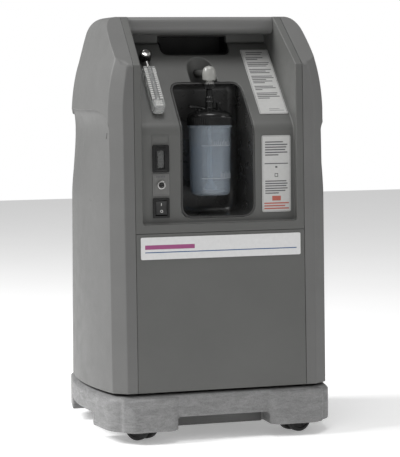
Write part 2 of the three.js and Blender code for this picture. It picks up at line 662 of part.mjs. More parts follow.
const meterBezel = prismY(onColumn(HOUR_METER_Z, 14, 22.2, 22.3, 2), METER_FACE_Y - 2.6, METER_FACE_Y, 3)
  .add(prismY(onColumn(HOUR_METER_Z, 11.6, 18.7, 18.3), METER_FACE_Y - 0.5, METER_FACE_Y + 42))
  .subtract(prismY(onColumn(HOUR_METER_Z, 6, 16.2, 13.8, 1), METER_FACE_Y - 4, METER_FACE_Y + 3, 3));
add('hour_meter_body', meterBezel, 'black');
const meterWindow = prismY(
  onColumn(HOUR_METER_Z, 5.6, 15.7, 13.3, 0.8), METER_FACE_Y - 0.4, METER_FACE_Y + 2.6, 3);
add('hour_meter_window', meterWindow, 'label');

const breakerBody = prismY(onColumn(BREAKER_Z, 13.8, 17.6, 17.9, 1.5), METER_FACE_Y - 0.8, METER_FACE_Y, 3)
  .add(onBreaker(7, METER_FACE_Y - 4.4, METER_FACE_Y - 0.4, 32))
  .add(onBreaker(5.3, METER_FACE_Y - 1, METER_FACE_Y + 26, 32))
  .subtract(onBreaker(4.1, METER_FACE_Y - 10, METER_FACE_Y + 10, 32));
add('breaker_body', breakerBody, 'steel');
add('breaker_button', onBreaker(3.8, METER_FACE_Y - 6.2, METER_FACE_Y + 6, 28), 'black');

const switchFrame = prismY(onColumn(SWITCH_Z, 13.9, 16.2, 16.2, 1.5), METER_FACE_Y - 2.2, METER_FACE_Y, 3)
  .add(prismY(onColumn(SWITCH_Z, 11.2, 13.7, 13.7), METER_FACE_Y - 0.5, METER_FACE_Y + 24))
  .subtract(prismY(onColumn(SWITCH_Z, 9.6, 12.2, 12.2), METER_FACE_Y - 10, METER_FACE_Y + 12));
add('switch_frame', switchFrame, 'black');
// Rocker: two flat faces meeting at a shallow angle over its pivot, tipped to its rest side.
const ROCKER_TIP = 5;               // degrees, either way
const rockerFace = METER_FACE_Y - 2.4;
const rocker = prismX(outline([
  [rockerFace + 3, -11], [rockerFace - 0.6, -11, 0.6], [rockerFace + 1.4, 0], [rockerFace - 0.6, 11, 0.6],
  [rockerFace + 3, 11], [rockerFace + 8, 3, 2], [rockerFace + 8, -3, 2],
].reverse()), CONTROLS_X - 9.3, CONTROLS_X + 9.3, 3);
const rockerTurn = new THREE.Group();
rockerTurn.position.set(0, rockerFace + 5, SWITCH_Z);
rockerTurn.rotation.x = THREE.MathUtils.degToRad(-ROCKER_TIP);
concentrator.add(rockerTurn);
add('switch_rocker', rocker.translate([0, -rockerFace - 5, 0]), 'black', rockerTurn);

// ---------------------------------------------------------------- base

const basePlan = outline([
  [-166, BASE_FRONT_Y, 16], [166, BASE_FRONT_Y, 16], [191, -150, 14], [BASE_HALF, -40, 38],
  [BASE_HALF, 40, 38], [191, 150, 14], [166, -BASE_FRONT_Y, 16], [-166, -BASE_FRONT_Y, 16],
  [-191, 150, 14], [-BASE_HALF, 40, 38], [-BASE_HALF, -40, 38], [-191, -150, 14],
]);
const RIM_SLOPE = 7;
const plate = solid(new THREE.ExtrudeGeometry(basePlan, {
  depth: BASE_TOP_Z - BASE_UNDERSIDE_Z - RIM_SLOPE, curveSegments: 4, bevelEnabled: true,
  bevelThickness: RIM_SLOPE, bevelSize: RIM_SLOPE + 1, bevelOffset: -RIM_SLOPE - 1, bevelSegments: 1,
}).translate(0, 0, BASE_UNDERSIDE_Z)).subtract(block(-300, 300, -300, 300, 0, BASE_UNDERSIDE_Z));

const FOOT_INNER = 79;
const toeSide = outline([
  [TOE_Y, FOOT_BOTTOM_Z, 4], [-150, FOOT_BOTTOM_Z], [-150, 75], [BASE_FRONT_Y - 1, 75, 3], [TOE_Y, 56, 5],
]);
const toePlan = outline([
  [80, -160], [172, -160], [173, BASE_FRONT_Y - 1, 3], [154, TOE_Y - 1, 8], [92, TOE_Y - 1, 8],
  [79, BASE_FRONT_Y - 1, 3],
]);
const toe = prismX(toeSide, 0, 260, 4).intersect(prismZ(toePlan, 0, 100, 4));
const footPlan = prismZ(basePlan, FOOT_BOTTOM_Z, BASE_UNDERSIDE_Z + RIM_SLOPE + 3, 4);
const footCorner = prismZ(rectangle(FOOT_INNER, -300, 300, -FOOT_INNER, 14), 0, 100, 4);
const frontRightFoot = footPlan.intersect(footCorner).add(toe);
const CASTER_POCKET = 44;
const casterPocket = rod('z', CASTER_POCKET, 0, 58, [CASTER_X, -CASTER_Y], 28)
  .add(rod('z', 6.4, 50, 70, [CASTER_X, -CASTER_Y], 16));

function fourWays(body) {
  const pair = [body, body.mirror([1, 0, 0])];
  return [...pair, ...pair.map((piece) => piece.mirror([0, 1, 0]))];
}

let base = plate.add(block(-76, 76, -128, 128, FOOT_BOTTOM_Z, BASE_UNDERSIDE_Z + 1));
for (const foot of fourWays(frontRightFoot)) base = base.add(foot);
for (const pocket of fourWays(casterPocket)) base = base.subtract(pocket);
// Tray let in from above, between the caster sockets.
const TRAY_FLOOR_Z = 47;
base = base.subtract(block(-172, 172, -72, 72, TRAY_FLOOR_Z, 90));
base = base.subtract(block(-70, 70, -148, 148, TRAY_FLOOR_Z, 90));
add('base', base, 'base');

// ---------------------------------------------------------------- casters

// A twin-wheel caster in its own frame: swivel axis on Z, axle along X, trailing towards +Y.
const hood = rod('x', 28, -14.5, 14.5, [CASTER_TRAIL, WHEEL_RADIUS], 32)
  .subtract(rod('x', 26.2, -20, 20, [CASTER_TRAIL, WHEEL_RADIUS], 32))
  .subtract(block(-20, 20, -40, 60, -10, WHEEL_RADIUS));
const casterFrame = hood
  .add(rod('x', 20, -4.4, 4.4, [CASTER_TRAIL, WHEEL_RADIUS], 20))
  .add(block(-4.4, 4.4, CASTER_TRAIL - 12, CASTER_TRAIL + 12, WHEEL_RADIUS + 8, WHEEL_RADIUS + 27))
  .add(rod('z', 9, WHEEL_RADIUS + 27, 56.5, [0, 0], 16))
  .add(block(-9, 9, -9, 10, WHEEL_RADIUS + 26, WHEEL_RADIUS + 29))
  .add(rod('z', 6, 50, 69, [0, 0], 16))
  .add(rod('x', 2.9, -16, 16, [CASTER_TRAIL, WHEEL_RADIUS], 12));
const wheel = turned([
  [3.3, 5], [24, 5], [WHEEL_RADIUS, 7], [WHEEL_RADIUS, 15.4], [23.6, 17], [19, 17], [18, 15],
  [3.3, 15], [3.3, 5],
], 24).rotate([0, 90, 0]).translate([0, CASTER_TRAIL, WHEEL_RADIUS]);

const casters = [
  ['front_left', -CASTER_X, -CASTER_Y, 34],
  ['front_right', CASTER_X, -CASTER_Y, -66],
  ['rear_left', -CASTER_X, CASTER_Y, -20],
  ['rear_right', CASTER_X, CASTER_Y, 28],
];
for (const [place, x, y, degrees] of casters) {
  const caster = new THREE.Group();
  caster.position.set(x, y, 0);
  caster.rotation.z = THREE.MathUtils.degToRad(degrees);
  concentrator.add(caster);
  add(`${place}_caster_frame`, casterFrame, 'black', caster);
  add(`${place}_wheel_right`, wheel, 'rubber', caster);
  add(`${place}_wheel_left`, wheel.mirror([1, 0, 0]), 'rubber', caster);
}

// ---------------------------------------------------------------- machinery inside

const DECK_Z = BASE_TOP_Z + GAP;
const FLOOR_Z = DECK_Z + 3 + GAP;
add('equipment_deck', prismZ(rectangle(-150, -122, 150, 122, 12), DECK_Z, DECK_Z + 3, 4), 'steel');

const bulkhead = block(-110, 110, -34, -31.5, FLOOR_Z + 160, 560).add(block(-110, 110, -34, -20, 557.5, 560));
add('bulkhead', bulkhead, 'steel');

const MOTOR_Y = 12;
const MOTOR_Z = 160;
let compressor = rod('x', 50, -66, 66, [MOTOR_Y, MOTOR_Z], 36)
  .add(block(-58, 58, MOTOR_Y - 44, MOTOR_Y + 44, FLOOR_Z, MOTOR_Z - 30));
for (const side of [-1, 1]) {
  const inner = side * 60;
  const outer = side * 104;
  const [low, high] = [Math.min(inner, outer), Math.max(inner, outer)];
  compressor = compressor.add(block(low, high, MOTOR_Y - 30, MOTOR_Y + 30, MOTOR_Z - 34, MOTOR_Z + 66));
  for (let i = 0; i < 4; i += 1) {
    const z = MOTOR_Z + 8 + i * 15;
    compressor = compressor.subtract(block(low - 1, high + 1, MOTOR_Y + 22, MOTOR_Y + 40, z, z + 8))
      .subtract(block(low - 1, high + 1, MOTOR_Y - 40, MOTOR_Y - 22, z, z + 8));
  }
}
add('compressor', compressor, 'aluminium');

for (const [side, x] of [['left', -150], ['right', 150]]) {
  const bed = turned([
    [0, FLOOR_Z], [30, FLOOR_Z], [36, FLOOR_Z + 6], [36, FLOOR_Z + 286], [30, FLOOR_Z + 294],
    [8, FLOOR_Z + 296], [8, FLOOR_Z + 306], [0, FLOOR_Z + 306],
  ], 28).translate([x, 0, 0]);
  add(`sieve_bed_${side}`, bed, 'aluminium');
}

const productTank = turned([
  [0, 262], [10, 262], [34, 274], [34, 480], [10, 492], [5, 492], [5, 502], [0, 502],
], 32).translate([-70, 62, 0]);
add('product_tank', productTank, 'steel');

let valveBlock = block(10, 110, -14, 26, 420, 452);
for (const x of [34, 86]) valveBlock = valveBlock.add(rod('z', 13, 450, 488, [x, 6], 24));
valveBlock = valveBlock.add(rod('y', 6, 24, 42, [60, 436], 20));
add('valve_block', valveBlock, 'aluminium');

const board = block(-108, 6, -27, -25.4, 300, 400)
  .add(block(-98, -76, -26, -8, 360, 390))
  .add(block(-64, -40, -26, -14, 364, 392))
  .add(block(-30, -4, -26, -18, 310, 330))
  .add(rod('y', 8, -26, -2, [-84, 322], 20));
add('control_board', board, 'board');

const FAN_Y = 120;
const FAN_Z = 176;
const fanShroud = block(-60, 60, FAN_Y, FAN_Y + 26, FLOOR_Z, FAN_Z + 60)
  .subtract(rod('y', 55, FAN_Y - 5, FAN_Y + 40, [0, FAN_Z], 40))
  .add(block(-58, 58, FAN_Y + 21, FAN_Y + 26, FAN_Z - 5, FAN_Z + 5))
  .subtract(block(-45, 45, FAN_Y - 5, FAN_Y + 40, FLOOR_Z + 8, FAN_Z - 66));
add('fan_shroud', fanShroud, 'black');
let rotor = rod('y', 18, FAN_Y + 2, FAN_Y + 20, [0, 0], 28);
const FAN_BLADES = 7;
for (let i = 0; i < FAN_BLADES; i += 1) {
  const blade = block(14, 52, -1.2, 1.2, -11, 11).rotate([34, 0, 0]).translate([0, FAN_Y + 11, 0]);
  rotor = rotor.add(blade.rotate([0, (360 * i) / FAN_BLADES, 0]));
}
add('fan_rotor', rotor.translate([0, 0, FAN_Z]), 'black');

add('intake_muffler', turned([
  [0, 262], [20, 262], [24, 266], [24, 390], [20, 394], [7, 394], [7, 408], [0, 408],
], 28).translate([40, 78, 0]), 'black');

class Helix extends THREE.Curve {
  getPoint(t) {
    const angle = t * 5 * 2 * Math.PI;
    return new THREE.Vector3(100 + 26 * Math.cos(angle), 72 + 26 * Math.sin(angle), 262 + 75 * t);
  }
}
const coilSection = new THREE.Shape();
coilSection.absarc(0, 0, 4.5, 0, 2 * Math.PI);
add('heat_exchanger_coil', solid(new THREE.ExtrudeGeometry(coilSection, {
  steps: 50, curveSegments: 3, bevelEnabled: false, extrudePath: new Helix(),
})), 'aluminium');

add('pressure_regulator', turned([
  [0, 500], [16, 500], [16, 524], [10, 528], [10, 540], [5, 542], [5, 552], [0, 552],
], 28).translate([80, 10, 0]), 'steel');
add('bacteria_filter', turned([
  [0, 500], [4, 500], [4, 512], [17, 518], [17, 530], [4, 536], [4, 548], [0, 548],
], 28).translate([28, 10, 0]), 'white');
add('run_capacitor', turned([
  [0, 268], [19, 268], [20, 270], [20, 352], [18, 355], [0, 355],
], 28).translate([66, 6, 0]), 'steel');

export default concentrator;
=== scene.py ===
# Looks of the floor-standing oxygen concentrator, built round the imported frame.
# +Z up, front towards -Y. Shapes are worked out in millimetres and scaled by MM.

import math

import bmesh
import bpy
from mathutils import Matrix, Vector


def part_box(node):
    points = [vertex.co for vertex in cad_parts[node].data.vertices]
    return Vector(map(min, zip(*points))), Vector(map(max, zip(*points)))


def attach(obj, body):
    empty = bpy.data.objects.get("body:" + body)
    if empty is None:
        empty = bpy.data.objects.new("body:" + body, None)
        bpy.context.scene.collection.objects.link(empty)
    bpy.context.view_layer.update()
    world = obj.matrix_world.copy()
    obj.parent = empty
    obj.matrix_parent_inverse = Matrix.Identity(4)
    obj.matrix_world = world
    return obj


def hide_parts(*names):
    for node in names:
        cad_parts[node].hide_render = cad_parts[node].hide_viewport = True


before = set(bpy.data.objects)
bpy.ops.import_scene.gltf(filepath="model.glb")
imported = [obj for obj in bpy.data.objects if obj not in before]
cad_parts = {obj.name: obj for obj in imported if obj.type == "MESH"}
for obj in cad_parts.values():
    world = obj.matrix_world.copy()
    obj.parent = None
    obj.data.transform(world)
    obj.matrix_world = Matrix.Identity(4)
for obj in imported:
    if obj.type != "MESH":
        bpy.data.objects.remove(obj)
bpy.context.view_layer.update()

MM = 0.001

# ---------------------------------------------------------------- dimensions, in millimetres


def low_mm(node):
    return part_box(node)[0] / MM


def high_mm(node):
    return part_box(node)[1] / MM


def middle_mm(node):
    return (low_mm(node) + high_mm(node)) / 2


GAP = 0.3
WALL = 3.0
HEIGHT = high_mm("carry_handle").z
CASING_BOTTOM = low_mm("front_lower_panel").z
SHOULDER_Z = 618.0
FRONT_Y = -166.0
REAR_Y = 166.0
FRONT_LEAN = 0.018
REAR_LEAN = 0.055
SHOULDER_SLOPE = 1.28
STRIP_HALF = 162.7
BEVEL_HALF = 184.5
BEVEL_DEPTH = 16.5
BOW = 22.0
BOW_TAPER = 0.15
TOP_ROUND_Z = 545.0
ROUND_END_Z = 508.0
SEAM_BOTTOM = 145.4
SEAM_SHOULDER = 144.2
SEAM_TOP = 140.0
PANEL_SEAM_Z = 344.0
TOP_SEAM_Y = 24.0

SCOOP_TOP_Z = 545.0
SCOOP_DEEPEST_Z = 510.0
SCOOP_LOW_Z = 395.0
SCOOP_HALF_Y = 146.0
SCOOP_DROP = 45.0
SCOOP_RUN = 66.0
SCOOP_DEPTH = 15.0
SCOOP_LEDGE_SHARE = 0.35
SCOOP_END_SHARE = 0.35
LATCH_Y = -122.0
LATCH_Z = 503.0
LATCH_HALF = 5.0

RECESS_HALF = 132.0
RECESS_HALF_TOP = 125.0
RECESS_BOTTOM_Z = 358.0
RECESS_Y = -147.0
BEND_Z = 515.0
PANEL_SLOPE = 1.03
SLOPE_ANGLE = math.atan(PANEL_SLOPE)
LIP_Z = 654.0
CEILING_Z = 670.0
HANDLE_BACK_Y = -12.0
WELL_HALF = 64.0
WELL_BOTTOM_Z = 366.0
WELL_TOP_Z = 589.0
WELL_BACK_Y = high_mm("humidifier_well").y
POCKET_BACK_Y = high_mm("handle_pocket_liner").y
NOTCH_RADIUS = 23.0
NOTCH_Y = -50.0
POCKET_HALF = 61.0
POCKET_LOW_Z = 635.0

FILTER_HALF = 92.0
FILTER_LOW_Z = 372.0
FILTER_HIGH_Z = 492.0
BAY_BACK_Y = 116.0
GRILLE_LOW_Z = 130.0
GLAND_X = middle_mm("power_cord_gland").x
GLAND_Z = middle_mm("power_cord_gland").z
SCREW_X = 128.0
SCREW_HEIGHTS = (104, 250, 396)

BOTTLE = middle_mm("humidifier_jar")
CONTROLS_X = middle_mm("hour_meter_body").x
FLOWMETER_X = middle_mm("flowmeter_body").x

# ---------------------------------------------------------------- mesh helpers


def new_object(name, verts, faces):
    mesh = bpy.data.meshes.new(name)
    mesh.from_pydata([Vector(v) * MM for v in verts], [], faces)
    shell = bmesh.new()
    shell.from_mesh(mesh)
    bmesh.ops.recalc_face_normals(shell, faces=shell.faces)
    shell.to_mesh(mesh)
    shell.free()
    obj = bpy.data.objects.new(name, mesh)
    bpy.context.scene.collection.objects.link(obj)
    return obj


def settle(obj):
    """Applies every modifier on obj."""
    graph = bpy.context.evaluated_depsgraph_get()
    mesh = bpy.data.meshes.new_from_object(obj.evaluated_get(graph))
    obj.modifiers.clear()
    old = obj.data
    obj.data = mesh
    bpy.data.meshes.remove(old)
    return obj


def combine(target, other, operation):
    step = target.modifiers.new("combine", "BOOLEAN")
    step.operation = operation
    step.solver = "MANIFOLD"
    step.object = other
    settle(target)
    bpy.data.objects.remove(other)
    return target


def cut(target, *others):
    for other in others:
        combine(target, other, "DIFFERENCE")
    return target


def join(target, *others):
    for other in others:
        combine(target, other, "UNION")
    return target


def trim(target, *others):
    for other in others:
        combine(target, other, "INTERSECT")
    return target


def merged(name, objects):
    """One object holding the meshes of several, left as they lie."""
    whole = bmesh.new()
    for obj in objects:
        whole.from_mesh(obj.data)
        bpy.data.objects.remove(obj)
    mesh = bpy.data.meshes.new(name)
    whole.to_mesh(mesh)
    whole.free()
    result = bpy.data.objects.new(name, mesh)
    bpy.context.scene.collection.objects.link(result)
    return result


def quadratic(start, control, end, steps=10):
    """Points after start along a quadratic curve to end."""
    a, b, c = Vector(start), Vector(control), Vector(end)
    shares = [i / steps for i in range(1, steps + 1)]
    return [a * (1 - t) ** 2 + b * 2 * t * (1 - t) + c * t * t for t in shares]


def cubic(start, first, second, end, steps=24):
    a, b, c, d = Vector(start), Vector(first), Vector(second), Vector(end)
    shares = [i / steps for i in range(1, steps + 1)]
    return [a * (1 - t) ** 3 + b * 3 * t * (1 - t) ** 2 + c * 3 * t * t * (1 - t) + d * t ** 3
            for t in shares]


def outline(corners, steps=8):
    """Points through (x, y, radius) corners, each rounded as the frame's outlines are."""
    points = []
    for i, corner in enumerate(corners):
        here = Vector(corner[:2])
        radius = corner[2] if len(corner) > 2 else 0
        if radius <= 0:
            points.append(here)
            continue
        before = Vector(corners[i - 1][:2]) - here
        after = Vector(corners[(i + 1) % len(corners)][:2]) - here
        start = here + before.normalized() * radius
        end = here + after.normalized() * radius
        points.append(start)
        points += quadratic(start, here, end, steps)
    return points


def rectangle(x0, y0, x1, y1, radius=0.0, steps=6):
    return outline([(x0, y0, radius), (x1, y0, radius), (x1, y1, radius), (x0, y1, radius)], steps)


def column(half, low, high, radius=0.0):
    """A rectangle centred on the column of meter, breaker and switch."""
    return rectangle(CONTROLS_X - half, low, CONTROLS_X + half, high, radius)


def arc(centre, radius, start, end, steps):
    angles = [math.radians(start + (end - start) * i / steps) for i in range(steps + 1)]
    return [Vector((centre[0] + radius * math.cos(a), centre[1] + radius * math.sin(a))) for a in angles]


def disc(radius, centre=(0, 0), steps=64):
    return arc(centre, radius, 0, 360 * (1 - 1 / steps), steps - 1)


PLACE = {
    "x": lambda a, b, depth: (depth, a, b),
    "y": lambda a, b, depth: (a, depth, b),
    "z": lambda a, b, depth: (a, b, depth),
}


def prism(points, axis, low, high, name="prism"):
    """A prism of an outline along an axis. Outlines are (y, z), (x, z) and (x, y)."""
    place = PLACE[axis]
    count = len(points)
    verts = [place(p[0], p[1], depth) for depth in (low, high) for p in points]
    faces = [tuple(range(count)), tuple(range(count, 2 * count))]
    faces += [(i, (i + 1) % count, count + (i + 1) % count, count + i) for i in range(count)]
    return new_object(name, verts, faces)


def block(x0, x1, y0, y1, z0, z1):
    return prism([(x0, y0), (x1, y0), (x1, y1), (x0, y1)], "z", z0, z1)


def rod(axis, radius, low, high, centre=(0, 0), steps=64):
    return prism(disc(radius, centre, steps), axis, low, high)


def loft(rings, name="loft"):
    """A closed body through rings of (x, y, z) points, all with the same count."""
    count = len(rings[0])
    verts = [point for ring in rings for point in ring]
    faces = [tuple(range(count)), tuple(range(len(verts) - count, len(verts)))]
    for level in range(len(rings) - 1):
        start = level * count
        faces += [(start + i, start + (i + 1) % count, start + count + (i + 1) % count, start + count + i)
                  for i in range(count)]
    return new_object(name, verts, faces)


def rounded(points, steps=6):
    """A turned profile with its (radius, height, rounding) corners rounded."""
    result = []
    last = len(points) - 1
    for i, point in enumerate(points):
        here = Vector(point[:2])
        radius = point[2] if len(point) > 2 else 0
        if radius <= 0 or i in (0, last):
            result.append(here)
            continue
        start = here + (Vector(points[i - 1][:2]) - here).normalized() * radius
        end = here + (Vector(points[i + 1][:2]) - here).normalized() * radius
        result.append(start)
        result += quadratic(start, here, end, steps)
    return result


def turned(profile, name="turned", steps=72, centre=(0, 0)):
    """A body turned about Z from (radius, height) points that start and end on the axis."""
    verts = []
    rings = []
    for radius, height in profile:
        count = 1 if radius < 1e-6 else steps
        rings.append(range(len(verts), len(verts) + count))
        for i in range(count):
            angle = 2 * math.pi * i / steps
            verts.append((centre[0] + radius * math.cos(angle), centre[1] + radius * math.sin(angle), height))
    faces = []
    for lower, upper in zip(rings, rings[1:]):
        for i in range(steps):
            corners = [lower[i % len(lower)], lower[(i + 1) % len(lower)],
                       upper[(i + 1) % len(upper)], upper[i % len(upper)]]
            face = list(dict.fromkeys(corners))
            if len(face) > 2:
                faces.append(face)
    return new_object(name, verts, faces)


def bore(radius, low, high, steps=72):
    """A turned plug that cuts a round hole along Z."""
    return turned([(0, low), (radius, low), (radius, high), (0, high)], steps=steps)


def tube(path, radius_at, name="tube", steps=24):
    """A solid tube through path points, radius_at(share of the way) wide."""
    points = [Vector(p) for p in path]
    verts = []
    for i, point in enumerate(points):
        ahead = points[min(i + 1, len(points) - 1)] - points[max(i - 1, 0)]
        reference = Vector((0, 0, 1)) if abs(ahead.normalized().z) < 0.95 else Vector((0, 1, 0))
        side = ahead.cross(reference).normalized()
        other = side.cross(ahead).normalized()
        radius = radius_at(i / (len(points) - 1))
        for k in range(steps):
            angle = 2 * math.pi * k / steps
            verts.append(point + side * radius * math.cos(angle) + other * radius * math.sin(angle))
    faces = [tuple(range(steps)), tuple(range(len(verts) - steps, len(verts)))]
    for i in range(len(points) - 1):
        for k in range(steps):
            a, b = i * steps + k, i * steps + (k + 1) % steps
            faces.append((a, b, b + steps, a + steps))
    return new_object(name, verts, faces)


def move(obj, offset=(0, 0, 0), spin=0.0, axis="Z"):
    """Turns obj's mesh by spin degrees about an axis through the origin, then moves it."""
    turn = Matrix.Rotation(math.radians(spin), 4, axis)
    obj.data.transform(Matrix.Translation(Vector(offset) * MM) @ turn)
    return obj


def tidy_mesh(obj, angle=0.1):
    """Merges slivers and joins coplanar faces that a boolean leaves."""
    shell = bmesh.new()
    shell.from_mesh(obj.data)
    bmesh.ops.remove_doubles(shell, verts=shell.verts, dist=0.02 * MM)
    bmesh.ops.dissolve_limit(shell, angle_limit=math.radians(angle), verts=shell.verts, edges=shell.edges)
    shell.to_mesh(obj.data)
    shell.free()
    return obj


def soften(obj, radius_of, segments=3, sharp=20.0):
    """Rounds edges. radius_of is a radius in millimetres, or gives one from an edge's middle
    in millimetres and the normals of its two faces."""
    tidy_mesh(obj)
    shell = bmesh.new()
    shell.from_mesh(obj.data)
    radii = []
    for edge in shell.edges:
        radius = 0.0
        if len(edge.link_faces) == 2 and edge.calc_face_angle(0.0) > math.radians(sharp):
            middle = (edge.verts[0].co + edge.verts[1].co) / 2 / MM
            first, second = (face.normal for face in edge.link_faces)
            radius = radius_of(middle, first, second) if callable(radius_of) else radius_of
        radii.append(radius)
    widest = max(radii + [0.01])
    layer = shell.edges.layers.float.new("bevel_weight_edge")
    for edge, radius in zip(shell.edges, radii):
        edge[layer] = radius / widest
    shell.to_mesh(obj.data)
    shell.free()
    bevel = obj.modifiers.new("edges", "BEVEL")
    bevel.width = widest * MM
    bevel.segments = segments
    bevel.limit_method = "WEIGHT"
    bevel.use_clamp_overlap = False
    bevel.miter_outer = "MITER_ARC"
    settle(obj)
    return smooth(obj)


def smooth(obj, sharp=40.0):
    """Smooth shading with the large faces kept flat."""
    mesh = obj.data
    mesh.shade_smooth()
    mesh.set_sharp_from_angle(angle=math.radians(sharp))
    normals = obj.modifiers.new("normals", "WEIGHTED_NORMAL")
    normals.keep_sharp = True
    return obj


def soften_node(name, width, angle=25.0, segments=2):
    """Rounds the edges of a CAD node that stays in view."""
    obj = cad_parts[name]
    bevel = obj.modifiers.new("edges", "BEVEL")
    bevel.width = width * MM
    bevel.segments = segments
    bevel.limit_method = "ANGLE"
    bevel.angle_limit = math.radians(angle)
    normals = obj.modifiers.new("normals", "WEIGHTED_NORMAL")
    normals.keep_sharp = True


def dress(obj, name, body, material, slot, *nodes):
    """Names a piece, paints it, sets its body, and hides the nodes it stands for. slot is not used."""
    obj.name = name
    obj.data.name = name
    obj.data.materials.clear()
    obj.data.materials.append(material)
    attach(obj, body)
    if nodes:
        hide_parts(*nodes)
    return obj


# ---------------------------------------------------------------- material helpers


def new_material(name):
    material = bpy.data.materials.new(name)
    material.use_nodes = True
    return material.node_tree, material.node_tree.nodes["Principled BSDF"], material


def place(tree, scale=(1, 1, 1), turn=(0, 0, 0)):
    coordinates = tree.nodes.new("ShaderNodeTexCoord")
    mapping = tree.nodes.new("ShaderNodeMapping")
    mapping.inputs["Scale"].default_value = scale
    mapping.inputs["Rotation"].default_value = [math.radians(angle) for angle in turn]
    tree.links.new(coordinates.outputs["Object"], mapping.inputs["Vector"])
    return mapping.outputs["Vector"]


def noise(tree, vector, scale, detail=3.0, roughness=0.5, distortion=0.0):
    node = tree.nodes.new("ShaderNodeTexNoise")
    node.inputs["Scale"].default_value = scale
    node.inputs["Detail"].default_value = detail
    node.inputs["Roughness"].default_value = roughness
    node.inputs["Distortion"].default_value = distortion
    tree.links.new(vector, node.inputs["Vector"])
    return node.outputs["Fac"]


def ramp(tree, factor, *stops):
    node = tree.nodes.new("ShaderNodeValToRGB")
    elements = node.color_ramp.elements
    while len(elements) < len(stops):
        elements.new(0.5)
    for element, (position, colour) in zip(elements, stops):
        element.position = position
        element.color = (*colour, 1)
    tree.links.new(factor, node.inputs["Fac"])
    return node.outputs["Color"]


def drive(tree, shader, socket, factor, *stops):
    """Sets a shader socket from a ramp over factor."""
    tree.links.new(ramp(tree, factor, *stops), shader.inputs[socket])


def combine_math(tree, operation, a, b):
    node = tree.nodes.new("ShaderNodeMath")
    node.operation = operation
    for socket, value in zip(node.inputs, (a, b)):
        if isinstance(value, (int, float)):
            socket.default_value = value
        else:
            tree.links.new(value, socket)
    return node.outputs["Value"]


def raise_bump(tree, shader, height, strength, distance_mm):
    node = tree.nodes.new("ShaderNodeBump")
    node.inputs["Strength"].default_value = strength
    node.inputs["Distance"].default_value = distance_mm * MM
    tree.links.new(height, node.inputs["Height"])
    tree.links.new(node.outputs["Normal"], shader.inputs["Normal"])


def shade(value, tint=(1, 1, 1)):
    return tuple(value * part for part in tint)


GRAIN_DEPTH = 0.12


def moulded(name, tone, roughness, tint=(1.0, 1.0, 0.98), mottle=0.06, grain=900, strength=0.25):
    """Moulded plastic: spark-eroded grain, faint mottling and a slightly uneven gloss."""
    tree, shader, material = new_material(name)
    vector = place(tree)
    cloudy = noise(tree, vector, 7, 5, 0.6)
    drive(tree, shader, "Base Color", cloudy,
          (0.3, shade(tone * (1 - mottle), tint)), (0.7, shade(tone * (1 + mottle), tint)))
    scuffs = noise(tree, vector, 35, 4, 0.65)
    drive(tree, shader, "Roughness", scuffs, (0.35, shade(roughness - 0.05)), (0.7, shade(roughness + 0.06)))
    fine = noise(tree, vector, grain, 2, 0.6)
    raise_bump(tree, shader, fine, strength, GRAIN_DEPTH)
    return material


def structural_foam(name, tone):
    """Foamed moulding: pale swirls and slanting streaks where the melt ran."""
    tree, shader, material = new_material(name)
    flow = noise(tree, place(tree, (1, 1, 3.4), (24, 42, 18)), 42, 7, 0.74, 0.9)
    speckle = noise(tree, place(tree), 480, 3, 0.7)
    mixed = combine_math(tree, "ADD", combine_math(tree, "MULTIPLY", flow, 0.62),
                         combine_math(tree, "MULTIPLY", speckle, 0.38))
    drive(tree, shader, "Base Color", mixed,
          (0.36, shade(tone * 0.72)), (0.5, shade(tone)), (0.64, shade(tone * 1.3)))
    drive(tree, shader, "Roughness", flow, (0.35, shade(0.62)), (0.7, shade(0.44)))
    raise_bump(tree, shader, mixed, 0.35, 0.5)
    return material


def gloss_black(name, tone=0.012, roughness=0.22):
    tree, shader, material = new_material(name)
    vector = place(tree)
    haze = noise(tree, vector, 60, 4, 0.6)
    drive(tree, shader, "Base Color", haze, (0.3, shade(tone)), (0.7, shade(tone * 1.5)))
    drive(tree, shader, "Roughness", haze, (0.3, shade(roughness)), (0.75, shade(roughness + 0.12)))
    raise_bump(tree, shader, noise(tree, vector, 240, 2, 0.5), 0.12, 0.1)
    return material


def rubber(name):
    tree, shader, material = new_material(name)
    vector = place(tree)
    dust = noise(tree, vector, 90, 5, 0.7)
    drive(tree, shader, "Base Color", dust, (0.35, shade(0.010)), (0.75, shade(0.028)))
    drive(tree, shader, "Roughness", dust, (0.3, shade(0.5)), (0.7, shade(0.75)))
    raise_bump(tree, shader, noise(tree, vector, 700, 2, 0.6), 0.3, 0.1)
    return material


def metal(name, tone, roughness, tint=(1, 1, 1), stretch=(1, 1, 18), scale=260):
    """Metal with fine drawn lines along one axis."""
    tree, shader, material = new_material(name)
    lines = noise(tree, place(tree, stretch), scale, 3, 0.6)
    drive(tree, shader, "Base Color", lines, (0.3, shade(tone * 0.86, tint)), (0.7, shade(tone * 1.08, tint)))
    drive(tree, shader, "Roughness", lines, (0.3, shade(roughness * 0.8)), (0.7, shade(roughness * 1.3)))
    shader.inputs["Metallic"].default_value = 1.0
    raise_bump(tree, shader, lines, 0.08, 0.05)
    return material


def clear_plastic(name, colour, roughness, ior, weight=1.0, cloud=0.04):
    """Clear or milky plastic or water: the cloudiness varies a little."""
    tree, shader, material = new_material(name)
    haze = noise(tree, place(tree, (1, 1, 0.3)), 30, 4, 0.6)
    dimmer = tuple(part * (1 - cloud) for part in colour)
    drive(tree, shader, "Base Color", haze, (0.3, dimmer), (0.7, colour))
    drive(tree, shader, "Roughness", haze, (0.3, shade(roughness)), (0.7, shade(roughness * 1.5 + 0.01)))
    shader.inputs["IOR"].default_value = ior
    shader.inputs["Transmission Weight"].default_value = weight
    return material


